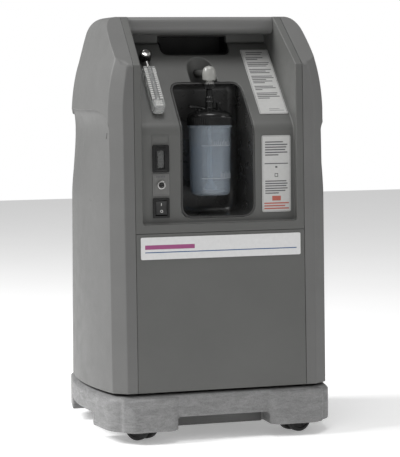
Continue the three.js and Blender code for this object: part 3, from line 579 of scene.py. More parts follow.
def printed_film(name, colour, roughness=0.45):
    """Printed polyester film: fine grain and a slightly uneven ink."""
    tree, shader, material = new_material(name)
    vector = place(tree)
    ink = noise(tree, vector, 160, 4, 0.6)
    dim = tuple(part * 0.93 for part in colour)
    drive(tree, shader, "Base Color", ink, (0.3, dim), (0.7, colour))
    drive(tree, shader, "Roughness", ink, (0.3, shade(roughness - 0.06)), (0.7, shade(roughness + 0.08)))
    raise_bump(tree, shader, noise(tree, vector, 1400, 2, 0.5), 0.1, 0.05)
    return material


def open_foam(name):
    tree, shader, material = new_material(name)
    cells = tree.nodes.new("ShaderNodeTexVoronoi")
    cells.inputs["Scale"].default_value = 620
    tree.links.new(place(tree), cells.inputs["Vector"])
    holes = cells.outputs["Distance"]
    drive(tree, shader, "Base Color", holes, (0.15, shade(0.004)), (0.6, shade(0.035)))
    shader.inputs["Roughness"].default_value = 0.95
    raise_bump(tree, shader, holes, 0.9, 0.8)
    return material


def circuit_board(name):
    tree, shader, material = new_material(name)
    grid = tree.nodes.new("ShaderNodeTexBrick")
    grid.inputs["Scale"].default_value = 90
    grid.inputs["Mortar Size"].default_value = 0.04
    grid.inputs["Color1"].default_value = (0.008, 0.085, 0.03, 1)
    grid.inputs["Color2"].default_value = (0.012, 0.11, 0.04, 1)
    grid.inputs["Mortar"].default_value = (0.03, 0.2, 0.08, 1)
    tree.links.new(place(tree, (1, 1, 1), (90, 0, 0)), grid.inputs["Vector"])
    tree.links.new(grid.outputs["Color"], shader.inputs["Base Color"])
    shader.inputs["Roughness"].default_value = 0.4
    raise_bump(tree, shader, grid.outputs["Fac"], 0.2, 0.1)
    return material


CASING = moulded("casing_plastic", 0.130, 0.50)
PANEL = moulded("panel_plastic", 0.103, 0.46, (1.0, 1.01, 0.97))
HANDLE = moulded("handle_plastic", 0.160, 0.40, mottle=0.03, grain=900, strength=0.12)
BASE = structural_foam("base_foamed_plastic", 0.205)
# The base pan's dark tone is painted shade under the base's overhang.
SHADED_PAN = moulded("pan_plastic_painted_shade", 0.085, 0.5, mottle=0.2, grain=500)
WELL = moulded("well_plastic", 0.050, 0.30, mottle=0.15, grain=500, strength=0.12)
# Finger pocket: its own black plastic, darkened further as painted shade under the handle.
SHADED_POCKET = moulded("pocket_plastic_painted_shade", 0.004, 0.6, mottle=0.15, grain=700)
BLACK = gloss_black("black_plastic", 0.006, 0.16)
SATIN_BLACK = gloss_black("satin_black_plastic", 0.02, 0.42)
RUBBER = rubber("tyre_rubber")
LABEL = printed_film("label_film", (0.52, 0.52, 0.51))
STRIP = printed_film("strip_film", (0.69, 0.69, 0.69))
INK = printed_film("grey_ink", (0.09, 0.09, 0.095))
RED_INK = printed_film("red_ink", (0.42, 0.11, 0.08))
BLUE_INK = printed_film("blue_ink", (0.04, 0.10, 0.24))
PLUM_INK = printed_film("plum_ink", (0.32, 0.07, 0.20))
WHITE_INK = printed_film("white_ink", (0.7, 0.7, 0.68))
CLEAR = clear_plastic("clear_acrylic", (0.86, 0.87, 0.86), 0.20, 1.36, 0.72)
BOTTLE_PLASTIC = clear_plastic("bottle_plastic", (0.70, 0.78, 0.86), 0.07, 1.38, 0.78, 0.06)
WATER = clear_plastic("water", (0.62, 0.76, 0.90), 0.02, 1.33, 1.0, 0.02)
CHROME = metal("bright_metal", 0.72, 0.14, (1, 0.99, 0.97), (18, 1, 1))
STEEL = metal("plated_steel", 0.48, 0.34)
ALUMINIUM = metal("cast_aluminium", 0.52, 0.42, (0.98, 0.99, 1), (1, 1, 1), 90)
GLASS = clear_plastic("meter_glass", (0.26, 0.265, 0.26), 0.08, 1.5, 0.6)
FOAM = open_foam("filter_foam")
BOARD = circuit_board("circuit_board")
WHITE = moulded("white_plastic", 0.62, 0.38, mottle=0.03)
DOME = moulded("dome_plastic", 0.30, 0.20, (1.0, 1.0, 0.95), 0.04, 600, strength=0.05)
SCALE_BACK = moulded("scale_back_plastic", 0.30, 0.35, (1.0, 1.0, 0.97), 0.05)
MARK_PLASTIC = moulded("level_mark_plastic", 0.42, 0.3, (0.9, 0.97, 1.05), 0.03)
INK_PALE = printed_film("pale_ink", (0.07, 0.072, 0.075))
BREAKER_PLATE = printed_film("breaker_plate_film", (0.15, 0.15, 0.145), 0.4)

# ---------------------------------------------------------------- casing

PLAN_STEPS = 40


def plan_points(inset):
    """Plan outline of the casing at its bottom, inset millimetres inside the surface."""
    strip_x, strip_y = STRIP_HALF - 0.32 * inset, -FRONT_Y - inset
    bevel_x = BEVEL_HALF - 0.88 * inset
    bevel_y = -FRONT_Y - BEVEL_DEPTH - 0.6 * inset
    bulge = BOW - 0.12 * inset
    radius = (bevel_y ** 2 + bulge ** 2) / (2 * bulge)
    centre = bevel_x + bulge - radius
    sweep = math.degrees(math.asin(bevel_y / radius))
    points = [Vector((-strip_x, -strip_y)), Vector((strip_x, -strip_y))]
    points += arc((centre, 0), radius, -sweep, sweep, PLAN_STEPS)
    points += [Vector((strip_x, strip_y)), Vector((-strip_x, strip_y))]
    points += arc((-centre, 0), radius, 180 - sweep, 180 + sweep, PLAN_STEPS)
    return points


def side_section():
    """(half width, height) of the casing at its widest, from the bottom up."""
    widest = BEVEL_HALF + BOW
    points = [Vector((widest, CASING_BOTTOM)), Vector((widest, TOP_ROUND_Z))]
    points += quadratic(points[-1], (widest - 2, 590), (192, 626), 12)
    points.append(Vector((179, 672)))
    points += quadratic(points[-1], (172, HEIGHT - 1), (152, HEIGHT), 12)
    return points


def scoop_share(z):
    """Share of the scoop's depth at a height: none at its foot, all at its deepest."""
    if z <= SCOOP_LOW_Z or z > SCOOP_TOP_Z:
        return 0.0
    if z < SCOOP_DEEPEST_Z:
        return math.sin((z - SCOOP_LOW_Z) / (SCOOP_DEEPEST_Z - SCOOP_LOW_Z) * math.pi / 2) ** 2
    past = (z - SCOOP_DEEPEST_Z) / (SCOOP_TOP_Z - SCOOP_DEEPEST_Z)
    return 1 - (1 - SCOOP_LEDGE_SHARE) * past ** 2


def casing_loft(inset, scoop):
    """The plan carried up the section. scoop draws the sides in by up to that much."""
    widest = BEVEL_HALF + BOW
    plan = plan_points(inset)
    section = side_section()
    if scoop > 0:
        levels = 30
        span = SCOOP_TOP_Z - SCOOP_LOW_Z
        section[1:1] = [Vector((widest, SCOOP_LOW_Z + span * i / levels)) for i in range(levels)]
    rings = []
    for half, z in section:
        rise = z - CASING_BOTTOM
        climb = min(1, rise / (TOP_ROUND_Z - CASING_BOTTOM))
        ring = []
        for point in plan:
            bulge = max(0, abs(point.x) - BEVEL_HALF)
            middle = 1 - (1 - SCOOP_END_SHARE) * min(1, (point.y / SCOOP_HALF_Y) ** 2)
            draw_in = bulge * BOW_TAPER * climb + scoop * scoop_share(z) * middle
            x = point.x - math.copysign(draw_in, point.x)
            lean = FRONT_LEAN if point.y < 0 else REAR_LEAN
            ring.append((x * half / widest, point.y * (1 - lean * rise / REAR_Y), z))
        rings.append(ring)
    return loft(rings)


def front_at(z):
    return FRONT_Y + FRONT_LEAN * (z - CASING_BOTTOM)


def side_profile(inset):
    """Side view of the casing: slanted shoulder, flat top, big round at the rear."""
    across = math.hypot(1, SHOULDER_SLOPE)
    back, down = inset / across, inset * SHOULDER_SLOPE / across
    far = -230
    top = HEIGHT - inset
    top_y = front_at(SHOULDER_Z) + (HEIGHT - SHOULDER_Z) * SHOULDER_SLOPE + back
    end_y = REAR_Y - REAR_LEAN * (ROUND_END_Z - CASING_BOTTOM)
    low_z = SHOULDER_Z - (front_at(SHOULDER_Z) - far) / SHOULDER_SLOPE
    points = [(far + back, CASING_BOTTOM - 10), (far + back, low_z - down), (top_y, top), (10, top)]
    points += cubic((10, top), (84, top), (end_y - 7 - inset, 622 - inset), (end_y - inset, ROUND_END_Z))
    points += [(200, ROUND_END_Z - 10), (200, CASING_BOTTOM - 10)]
    return prism(points, "x", -230, 230)


def casing_body(inset):
    return trim(casing_loft(inset, 0), side_profile(inset))


def middle_slab(grow, low, high):
    """Middle third of the casing in front view, grow millimetres past the seams."""
    def half_at(z):
        if z < SHOULDER_Z:
            share = (z - CASING_BOTTOM) / (SHOULDER_Z - CASING_BOTTOM)
            return SEAM_BOTTOM + (SEAM_SHOULDER - SEAM_BOTTOM) * share + grow
        share = (z - SHOULDER_Z) / (HEIGHT - SHOULDER_Z)
        return SEAM_SHOULDER + (SEAM_TOP - SEAM_SHOULDER) * share + grow
    heights = [low, SHOULDER_Z, high] if low < SHOULDER_Z < high else [low, high]
    points = [(half_at(z), z) for z in heights] + [(-half_at(z), z) for z in reversed(heights)]
    return prism(points, "y", -250, 250)


def scoop_cut(inset):
    """The hand scoop in both sides, below a ledge that comes down in a curve at both ends."""
    half = SCOOP_HALF_Y + inset
    ledge = SCOOP_TOP_Z + inset
    foot = SCOOP_LOW_Z + 1
    window = [Vector((-half, foot)), Vector((half, foot)), Vector((half, ledge - SCOOP_DROP))]
    window += quadratic(window[-1], (half, ledge), (half - SCOOP_RUN, ledge), 16)
    window.append(Vector((-half + SCOOP_RUN, ledge)))
    window += quadratic(window[-1], (-half, ledge), (-half, ledge - SCOOP_DROP), 16)
    return cut(prism(window, "x", -260, 260), casing_loft(inset, SCOOP_DEPTH))


def slant_y(z):
    return RECESS_Y + (z - BEND_Z) * PANEL_SLOPE


def recess_profile(grow, steps=10):
    """Side view of the space in front of the recess floor, grow millimetres larger."""
    back = grow / math.sqrt(2)
    over = HEIGHT + 30
    lip_y = slant_y(LIP_Z)
    return outline([
        (-260, RECESS_BOTTOM_Z - grow), (RECESS_Y + grow, RECESS_BOTTOM_Z - grow, 3),
        (RECESS_Y + grow, BEND_Z - grow * 0.4, 14), (lip_y + back, LIP_Z - back, 3),
        (lip_y + 7 + grow, LIP_Z + 2, 2), (lip_y + 7 + grow, CEILING_Z + grow),
        (HANDLE_BACK_Y + grow, CEILING_Z + grow), (HANDLE_BACK_Y + grow, over), (-260, over)], steps)


def recess_opening(grow):
    """Front view of the recess."""
    low = RECESS_BOTTOM_Z - grow
    over = HEIGHT + 30
    return prism(outline([
        (-RECESS_HALF - grow, low, 5), (RECESS_HALF + grow, low, 5), (RECESS_HALF + grow, SHOULDER_Z),
        (RECESS_HALF_TOP + grow, over), (-RECESS_HALF_TOP - grow, over), (-RECESS_HALF - grow, SHOULDER_Z)]),
        "y", -260, 60)


def notch(grow):
    radius = NOTCH_RADIUS + grow
    points = [(-radius, -170), (radius, -170)] + arc((0, NOTCH_Y), radius, 0, 180, 28)
    return prism(points, "z", WELL_TOP_Z - 40, CEILING_Z)


def recess(grow):
    space = trim(prism(recess_profile(grow), "x", -200, 200), recess_opening(grow))
    return join(space, notch(grow))


def well_outline(inset, steps=12):
    half = WELL_HALF - inset
    top = WELL_TOP_Z - inset
    return outline([(-half, WELL_BOTTOM_Z + inset, 24 - inset), (half, WELL_BOTTOM_Z + inset, 24 - inset),
                    (half - 1.5, top, 18 - inset), (-half + 1.5, top, 18 - inset)], steps)


def pocket_outline(inset, steps=6):
    half = POCKET_HALF - inset
    low = POCKET_LOW_Z + inset
    high = CEILING_Z - 1 - inset
    corner = 12 - inset
    return outline([(-half, high, 2), (-half, low, corner), (half, low, corner), (half, high, 2)], steps)


def faces_out(first, second):
    """True where an edge's two faces look forwards or up, out of the control panel."""
    return (first + second).dot(Vector((0, -1, 0.9))) > 0.25


def cover_radius(middle, first, second):
    """Edge radius of the side covers: wide on the shoulder and bevels, fine at the seams."""
    upward = 0.6 if middle.z > 400 else 0
    outwards = Vector((math.copysign(1, middle.x), math.copysign(0.6, middle.y), upward))
    if (first + second).dot(outwards) < 0.2:
        return 0.0
    if abs(middle.x) < SEAM_BOTTOM + 1.5:
        return 0.6
    if middle.z < CASING_BOTTOM + 2:
        return 1.0
    at_an_end = SCOOP_HALF_Y - SCOOP_RUN < abs(middle.y) < SCOOP_HALF_Y + 2
    beside_scoop = SCOOP_LOW_Z < middle.z < SCOOP_TOP_Z - 2 and abs(middle.x) > BEVEL_HALF - 12
    if at_an_end and beside_scoop:
        return 0.35 * SCOOP_DEPTH * SCOOP_END_SHARE * scoop_share(middle.z)
    if abs(middle.z - SCOOP_TOP_Z) < 1 and abs(middle.y) < SCOOP_HALF_Y:
        return 1.4
    shoulder = abs(middle.z - SHOULDER_Z) < 4 and middle.y < FRONT_Y + 60
    return 6.0 if shoulder else 1.3


def panel_radius(middle, first, second):
    """Edge radius of the control panel: fine at the seams, soft round the recess and the well."""
    if not faces_out(first, second):
        return 0.0
    if abs(middle.x) > SEAM_TOP - 1 or middle.z < PANEL_SEAM_Z + 3 or middle.y > TOP_SEAM_Y - 4:
        return 0.4
    if abs(middle.x - CONTROLS_X) < 14 and middle.z < 490:
        return 0.3
    if abs(middle.x) < NOTCH_RADIUS + 2 and middle.z > WELL_TOP_Z + 3 and middle.y > RECESS_Y:
        return 2.2
    return 1.8


def build_casing():
    hollow = casing_body(WALL)
    foot, head = LATCH_Z - LATCH_HALF, LATCH_Z + LATCH_HALF
    slot = prism(outline([(LATCH_Y - 0.2, foot, 1.2), (LATCH_Y + 3.2, foot, 1.2),
                          (LATCH_Y + 0.8, head, 1.2), (LATCH_Y - 2.6, head, 1.2)]), "x", -260, 260)
    shell = cut(casing_body(0), scoop_cut(0), cut(hollow, scoop_cut(WALL)), slot,
                middle_slab(GAP, CASING_BOTTOM - 20, 740))
    for side, (low, high) in {"left": (-260, 0), "right": (0, 260)}.items():
        half = shell.copy()
        half.data = shell.data.copy()
        bpy.context.scene.collection.objects.link(half)
        cover = trim(half, block(low, high, -260, 260, 0, 800))
        soften(cover, cover_radius, 4, 30)
        dress(cover, f"{side}_cover_shell", "cabinet", CASING, "casing", f"{side}_side_cover")
    bpy.data.objects.remove(shell)


def build_control_panel():
    shell = trim(casing_body(0), middle_slab(-GAP, CASING_BOTTOM - 5, HEIGHT + 5))
    hollow = cut(casing_body(WALL), recess(WALL))
    panel = cut(shell, recess(0), hollow)
    trim(panel, block(-200, 200, -260, TOP_SEAM_Y, PANEL_SEAM_Z + GAP, HEIGHT + 5))
    cut(panel,
        block(-200, 200, -120, TOP_SEAM_Y + 5, PANEL_SEAM_Z - 5, RECESS_BOTTOM_Z - WALL),
        prism(well_outline(0), "y", -190, 60),
        prism(pocket_outline(0), "y", -120, 60),
        prism(column(12, 446, 484), "y", -160, -130),
        prism(column(11.5, 370.5, 398.5), "y", -160, -130),
        rod("y", 5.6, -160, -130, (CONTROLS_X, 422.6)),
        rod("y", 6.4, -60, 10, (0, 604)))
    soften(panel, panel_radius, 3)
    dress(panel, "control_panel_moulding", "cabinet", PANEL, "panel", "control_panel")


def build_lower_panel():
    shell = trim(casing_body(0), middle_slab(-GAP, CASING_BOTTOM - 5, HEIGHT + 5),
                 block(-200, 200, -260, -100, CASING_BOTTOM, PANEL_SEAM_Z - GAP))
    hollow = trim(casing_body(WALL), middle_slab(-WALL - GAP, CASING_BOTTOM + WALL, PANEL_SEAM_Z - WALL))
    cut(shell, casing_body(14), hollow)
    soften(shell, lambda middle, first, second: 0.9 if middle.y < -155 else 0.0)
    dress(shell, "lower_panel_moulding", "cabinet", PANEL, "panel", "front_lower_panel")


def filter_bay(grow, back):
    reach = FILTER_HALF + grow
    return prism(rectangle(-reach, FILTER_LOW_Z - grow, reach, FILTER_HIGH_Z + grow, 8), "y", back, 200)


def build_rear_panel():
    panel = cut(trim(casing_body(0), middle_slab(-GAP, CASING_BOTTOM - 5, HEIGHT + 5)), casing_body(WALL))
    trim(panel, block(-200, 200, TOP_SEAM_Y + 2 * GAP, 260, CASING_BOTTOM, HEIGHT + 5))
    join(panel, trim(filter_bay(WALL, BAY_BACK_Y - WALL), casing_body(0)))
    cut(panel, filter_bay(0, BAY_BACK_Y))
    for i in range(5):
        z = FILTER_LOW_Z + 20 + 20 * i
        cut(panel, prism(rectangle(-75, z - 4, 75, z + 4, 3.5), "y", 100, 130))
    for i in range(9):
        z = GRILLE_LOW_Z + 11 * i
        cut(panel, prism(rectangle(-70, z - 2.5, 70, z + 2.5, 2.2), "y", 100, 200))
    screws = []
    for x in (-SCREW_X, SCREW_X):
        for z in SCREW_HEIGHTS:
            rear = REAR_Y - REAR_LEAN * (z - CASING_BOTTOM)
            cut(panel, rod("y", 5, rear - 1.8, 220, (x, z), 32))
            head = turned(rounded([(0, 0), (4, 0), (4, 1.2, 0.6), (0, 1.7)]), steps=32)
            cut(head, block(-3, 3, -0.5, 0.5, 0.9, 3), block(-0.5, 0.5, -3, 3, 0.9, 3))
            screws.append(move(move(head, spin=-90, axis="X"), (x, rear - 1.9, z)))
    cut(panel, rod("y", 8.2, 120, 200, (GLAND_X, GLAND_Z), 40))
    dress(smooth(panel, 30), "rear_moulding", "cabinet", CASING, "casing", "rear_panel")
    dress(smooth(merged("rear_screws", screws)), "rear_screws", "cabinet", STEEL, "casing")


def build_handle():
    back = HANDLE_BACK_Y - GAP
    section = outline([(back, CEILING_Z + GAP), (back, HEIGHT, 2), (-52, HEIGHT, 11),
                       (-52, CEILING_Z + 5, 9), (-38, CEILING_Z + GAP, 4)], 12)
    bar = trim(prism(section, "x", -RECESS_HALF, RECESS_HALF), recess_opening(-GAP - 0.1))
    dress(smooth(bar, 35), "handle_bar", "cabinet", HANDLE, "casing", "carry_handle")


def well_plug(grow, front, back, rounding):
    """The well's space: its outline carried back, drawn in to a rounded rear edge."""
    depths = [(front, 0.0)]
    for i in range(9):
        angle = math.pi / 2 * i / 8
        depths.append((back - rounding * (1 - math.sin(angle)), rounding * (1 - math.cos(angle))))
    rings = []
    for y, inset in depths:
        rings.append([(p.x, y, p.y) for p in well_outline(grow + inset)])
    return loft(rings, "plug")


def build_pocket_and_well():
    liner = cut(prism(pocket_outline(GAP), "y", -120, POCKET_BACK_Y),
                prism(pocket_outline(GAP + 2.2), "y", -130, POCKET_BACK_Y - 2.2),
                prism(recess_profile(0.5), "x", -200, 200))
    soften(liner, 0.7, 2)
    # The pocket's near-black tone is partly its own black plastic and partly painted shade under the handle.
    dress(liner, "finger_pocket", "cabinet", SHADED_POCKET, "well", "handle_pocket_liner")
    tub = cut(well_plug(GAP, -170, WELL_BACK_Y, 12), well_plug(GAP + 2.5, -180, WELL_BACK_Y - 2.5, 12),
              prism(recess_profile(0.5), "x", -200, 200))
    smooth(tub, 50)
    dress(tub, "humidifier_tub", "cabinet", WELL, "well", "humidifier_well")


build_casing()
build_control_panel()
build_lower_panel()
build_rear_panel()
build_handle()
build_pocket_and_well()

# ---------------------------------------------------------------- base


def build_base():
    """The foamed base: the frame's solid with every edge flowed over, as the moulding's are."""
    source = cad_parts["base"]
    body = bpy.data.objects.new("base_moulding", source.data.copy())
    bpy.context.scene.collection.objects.link(body)
    skin = body.modifiers.new("skin", "REMESH")
    skin.mode = "VOXEL"
    skin.voxel_size = 1.9 * MM
    flow = body.modifiers.new("flow", "SMOOTH")
    flow.factor = 0.6
    flow.iterations = 5
    settle(body)
    body.data.shade_smooth()
    dress(body, "base_moulding", "cabinet", BASE, "base", "base")
    pan = cut(block(-77.5, 77.5, -129.5, 129.5, 19, 40), block(-70, 70, -122, 122, 24, 60))
    for x in (-48, -24, 0, 24, 48):
        join(pan, block(x - 1.2, x + 1.2, -123, 123, 23.5, 34))
    # The pan is darker than the base: painted shade where the base overhangs it.
    dress(soften(pan, 2.0, 3, 60), "base_pan", "cabinet", SHADED_PAN, "base")


build_base()

# ---------------------------------------------------------------- flowmeter

SLANT = Matrix.Translation(Vector((0, slant_y(580), 580)) * MM) @ Matrix.Rotation(-SLOPE_ANGLE, 4, "X")
METER_HALF = 10.2
METER_LOW = -62.0
METER_HIGH = 36.0
METER_DEPTH = 15.0
METER_FRONT = -1.5 - METER_DEPTH
BORE_Y = METER_FRONT + METER_DEPTH / 2
KNOB_Z = 65.0
KNOB_PLACE = Matrix.Translation(Vector((FLOWMETER_X, 0, KNOB_Z)) * MM)
KNOB = SLANT @ KNOB_PLACE @ Matrix.Rotation(math.pi / 2, 4, "X")


def lay(obj, matrix):
    obj.data.transform(matrix)
    return obj


def bars(rows, y, thickness, name):
    """Thin printed bars in a plane facing -Y, from (x0, x1, z0, z1) rows."""
    pieces = [block(x0, x1, y - thickness, y, z0, z1) for x0, x1, z0, z1 in rows]
    return merged(name, pieces)


def build_flowmeter():
    corners = [(FLOWMETER_X - METER_HALF, METER_LOW, 7), (FLOWMETER_X + METER_HALF, METER_LOW, 7),
               (FLOWMETER_X + METER_HALF, METER_HIGH, 1.5), (FLOWMETER_X - METER_HALF, METER_HIGH, 1.5)]
    body = cut(prism(outline(corners, 10), "y", METER_FRONT, METER_FRONT + METER_DEPTH),
               rod("z", 3.6, METER_LOW + 24, METER_HIGH + 5, (FLOWMETER_X, BORE_Y), 40))
    soften(body, 0.5, 2, 50)
    dress(lay(body, SLANT), "flowmeter_block", "cabinet", CLEAR, "clear", "flowmeter_body")

    low, high, count = METER_LOW + 21, METER_HIGH - 4, 15
    pitch = (high - low) / count
    pale, dark = [], []
    for side in (-1, 1):
        def across(near, far):
            ends = (FLOWMETER_X + side * near, FLOWMETER_X + side * far)
            return min(ends), max(ends)
        dark.append((*across(3.4, 4.1), low - 2, high + 1))
        for i in range(count):
            z = low + pitch * i
            pale.append((*across(4.3, 9.2), z, z + pitch - 1.6))
            dark.append((*across(4.3, 8.0), z - 1.4, z - 0.2))
            dark.append((*across(1.4, 3.4), z - 1.4, z - 0.2))
    for i in range(3):
        z = METER_LOW + 5 + i * 4.4
        pale.append((FLOWMETER_X - 6, FLOWMETER_X + 6, z, z + 2.6))
    for rows, ink, name in ((pale, WHITE_INK, "flow_scale_marks"), (dark, INK, "flow_scale_ticks")):
        dress(lay(bars(rows, METER_FRONT, 0.12, name), SLANT), name, "cabinet", ink, "white")

    ball = bpy.data.meshes.new("float_ball")
    shell = bmesh.new()
    bmesh.ops.create_uvsphere(shell, u_segments=32, v_segments=20, radius=3.1 * MM)
    shell.to_mesh(ball)
    shell.free()
    ball.shade_smooth()
    float_ball = bpy.data.objects.new("float_ball", ball)
    bpy.context.scene.collection.objects.link(float_ball)
    place_at = Matrix.Translation(Vector((FLOWMETER_X, BORE_Y, METER_LOW + 37)) * MM)
    dress(lay(float_ball, SLANT @ place_at), "float_ball", "flowmeter_float", BLACK, "black",
          "flowmeter_float")


def ribbed(levels, ribs, depth, name, steps_per_rib=8):
    """A knob or skirt: rings of (height, radius) with ribs cut depth millimetres deep."""
    steps = ribs * steps_per_rib
    rings = []
    for height, radius in levels:
        ring = []
        for i in range(steps):
            angle = 2 * math.pi * i / steps
            reach = radius - depth * (0.5 - 0.5 * math.cos(ribs * angle)) ** 2
            ring.append((reach * math.cos(angle), reach * math.sin(angle), height))
        rings.append(ring)
    return loft(rings, name)


def build_flow_knob():
    grip = ribbed([(5, 9.5), (5.5, 10.3), (17.8, 10.1), (18.7, 9.7), (19, 9.0)], 24, 0.8, "flow_knob_grip")
    grip = join(grip, rod("z", 4, GAP, 5.4, (0, 0), 40))
    cut(grip, bore(8.4, 17.6, 22))
    dress(lay(smooth(grip, 50), KNOB), "flow_knob_grip", "flow_knob", BLACK, "black", "flow_knob")
    cap = turned([(0, 17.9), (8.1, 17.9), (8.1, 19.3), (7.9, 19.9), (7.2, 20.3), (6.4, 20.4), (6.0, 20.0),
                  (5.4, 20.0), (5.0, 20.5), (3, 20.7), (0, 20.8)])
    dress(lay(smooth(cap, 35), KNOB), "flow_knob_badge", "flow_knob", CHROME, "chrome", "flow_knob_cap")


build_flowmeter()
build_flow_knob()

# ---------------------------------------------------------------- outlet, nut, lid and jar

BOTTLE_Y = BOTTLE.y
OUTLET_Z = 604.0


def at_bottle(obj):
    return move(obj, (0, BOTTLE_Y, 0))


def build_outlet():
    dome = at_bottle(turned(rounded([
        (0, 583.5), (5.4, 583.5, 0.5), (5.4, 592, 0.4), (10.4, 592, 1.6), (11.6, 600, 3), (11.2, 607, 4),
        (8.6, 614, 4), (0, 616.6)], 10), steps=96))
    cut(dome, at_bottle(rod("z", 2.4, 580, 590, (0, 0), 32)))
    dress(smooth(dome, 50), "outlet_dome", "cabinet", DOME, "chrome", "outlet_elbow")
    arm = rod("y", 6, BOTTLE_Y + 10, 8, (0, OUTLET_Z), 48)
    dress(smooth(arm, 50), "outlet_arm", "cabinet", PANEL, "chrome")


def build_nut():
    nut = ribbed([(577.5, 8.2), (578.1, 9.0), (585.4, 9.0), (586, 8.5)], 18, 0.9, "nut_grip")
    cut(nut, turned([(0, 570), (4.4, 570), (4.4, 579), (6, 579), (6, 600), (0, 600)]))
    dress(at_bottle(smooth(nut, 45)), "nut_grip", "swivel_nut", BLACK, "black")
    collar = ribbed([(583.2, 7.4), (583.6, 7.9), (588.8, 7.9), (589.2, 7.4)], 14, 0.7, "nut_collar")
    cut(collar, bore(6, 580, 600))
    dress(at_bottle(smooth(collar, 45)), "nut_collar", "swivel_nut", CHROME, "black", "swivel_nut")


def build_lid():
    skirt = ribbed([(517.8, 37.4), (518.4, 38.2), (530, 38.2), (531.2, 37.6)], 60, 0.8, "lid")
    crown = turned(rounded([
        (0, 529), (37.2, 529), (37.2, 532, 1), (35.6, 536, 2), (31.5, 539, 3), (24.5, 542.5, 4),
        (11, 545.5, 2), (6.8, 547, 1), (6.8, 554, 0.6), (7.6, 555, 0.4), (7.6, 557, 0.4), (6.6, 558, 0.4),
        (6.4, 564, 0.8),
        (5.2, 565.5, 0.6), (5.2, 576.4, 0.6), (4.1, 577, 0.2), (4.1, 579.4, 0.4), (5.6, 581.2, 0.4),
        (5.6, 583, 0.4), (0, 583)],
        8), steps=96)
    join(skirt, crown)
    ribs = [block(-0.8, 0.8, 4, 24, 542 - 3, 546.5) for _ in range(8)]
    for i, rib in enumerate(ribs):
        join(skirt, move(rib, spin=45 * i + 22.5))
    cut(skirt, turned([(0, 500), (36.9, 500), (36.9, 527), (34, 532), (17, 538), (0, 538)], steps=96),
        rod("z", 1.8, 530, 600, (0, 0), 24))
    dress(at_bottle(smooth(skirt, 45)), "lid_moulding", "humidifier", BLACK, "black", "humidifier_lid")

    start, bend = Vector((-6, -2.3, 542.5)), Vector((-20, -7.5, 548))
    path = [start] + quadratic(start, bend, (-39, -13.6, 549.5), 30)

    def barbed(share):
        if share < 0.35:
            return 3.4
        return 2.1 + 1.15 * (1 - ((share - 0.35) * 6.15) % 1)
    spout = at_bottle(tube(path, barbed, "outlet_barb"))
    dress(smooth(spout, 45), "outlet_barb", "humidifier", BLACK, "black")

    post = turned(rounded([(0, 540), (4.4, 540), (4.4, 546), (0, 546)]), steps=48, centre=(17, 3))
    dress(at_bottle(smooth(post)), "relief_post", "humidifier", BLACK, "black")
    cap = ribbed([(546.1, 4.3), (546.4, 4.7), (553, 4.7), (554.2, 4.2), (555, 3.0)], 12, 0.4, "cap")
    move(cap, (17, 3, 0))
    dress(at_bottle(smooth(cap, 45)), "relief_cap", "humidifier", BLACK, "black", "relief_valve_cap")


WATER_Z = 484.0


def build_jar():
    outer = turned(rounded([
        (0, 403.2), (20, 403.2, 4), (26, 401.5, 2), (31.5, 401.5, 4), (33.6, 410, 3), (35, 505, 3),
        (35.4, 513, 0.5), (37.6, 514.2, 0.5), (37.6, 517.5, 0.4), (35.6, 517.6), (35.6, 526.4),
        (0, 526.4)], 8), steps=128)
    inner = turned(rounded([
        (0, 405), (27.4, 405, 2), (31.2, 406.6, 2), (31.8, 412, 2), (33, 505, 2), (33.4, 530),
        (0, 530)], 8), steps=128)
    jar = cut(outer, inner)
    dress(at_bottle(smooth(jar, 50)), "jar_wall", "humidifier_jar", BOTTLE_PLASTIC, "bottle",
          "humidifier_jar")
    wall_at = 31.8 + (33 - 31.8) * (WATER_Z - 412) / (505 - 412) - 0.15
    water = turned(rounded([
        (0, 405.2), (27, 405.2, 2), (30.9, 406.9, 2), (31.6, 412.2, 2), (wall_at, WATER_Z, 0.4),
        (0, WATER_Z)], 8), steps=96)
    cut(water, bore(1.6, 400, 500, steps=32))
    dress(at_bottle(smooth(water, 50)), "jar_water", "humidifier_jar", WATER, "bottle")

    # Raised level marks on the right of the jar, two bands of plain ticks.
    marks = []
    for low, high, angles in ((485, 494, range(-100, -34, 6)), (431, 441, range(-74, -20, 6))):
        for i, degrees in enumerate(angles):
            top = high if i % 3 == 0 else high - 3
            radius = 33.75 + (35 - 33.75) * (low - 410) / 95
            tick = block(radius - 0.2, radius + 0.35, -0.45, 0.45, low, top)
            marks.append(move(tick, spin=degrees))
    for z, first, last in ((484.2, -128, -28), (430, -128, -20)):
        radius = 33.75 + (35 - 33.75) * (z - 410) / 95
        for i in range(first, last, 4):
            tick = block(radius - 0.2, radius + 0.3, -1.25, 1.25, z - 0.5, z + 0.5)
            marks.append(move(tick, spin=i))
    dress(at_bottle(merged("level_marks", marks)), "level_marks", "humidifier_jar", MARK_PLASTIC, "bottle")

    stem = turned(rounded([
        (0, 411), (8.1, 411, 0.5), (8.4, 413.2, 0.6), (3.4, 424, 1), (3, 427, 0.5), (3, 537.2),
        (0, 537.2)], 5), steps=64)
    cut(stem, bore(1.7, 405, 540, steps=32))
    dress(at_bottle(smooth(stem, 45)), "diffuser_stem", "humidifier", WHITE, "white", "diffuser_tube")


build_outlet()
build_nut()
build_lid()
build_jar()

# ---------------------------------------------------------------- meter, breaker and switch

FACE_Y = RECESS_Y - GAP
RING_Z = 422.6
SWITCH_Z = 384.6


def frame_bars(x0, x1, z0, z1, width):
    """The four sides of a rectangular outline as bars."""
    return [(x0, x1, z0, z0 + width), (x0, x1, z1 - width, z1),
            (x0, x0 + width, z0 + width, z1 - width), (x1 - width, x1, z0 + width, z1 - width)]


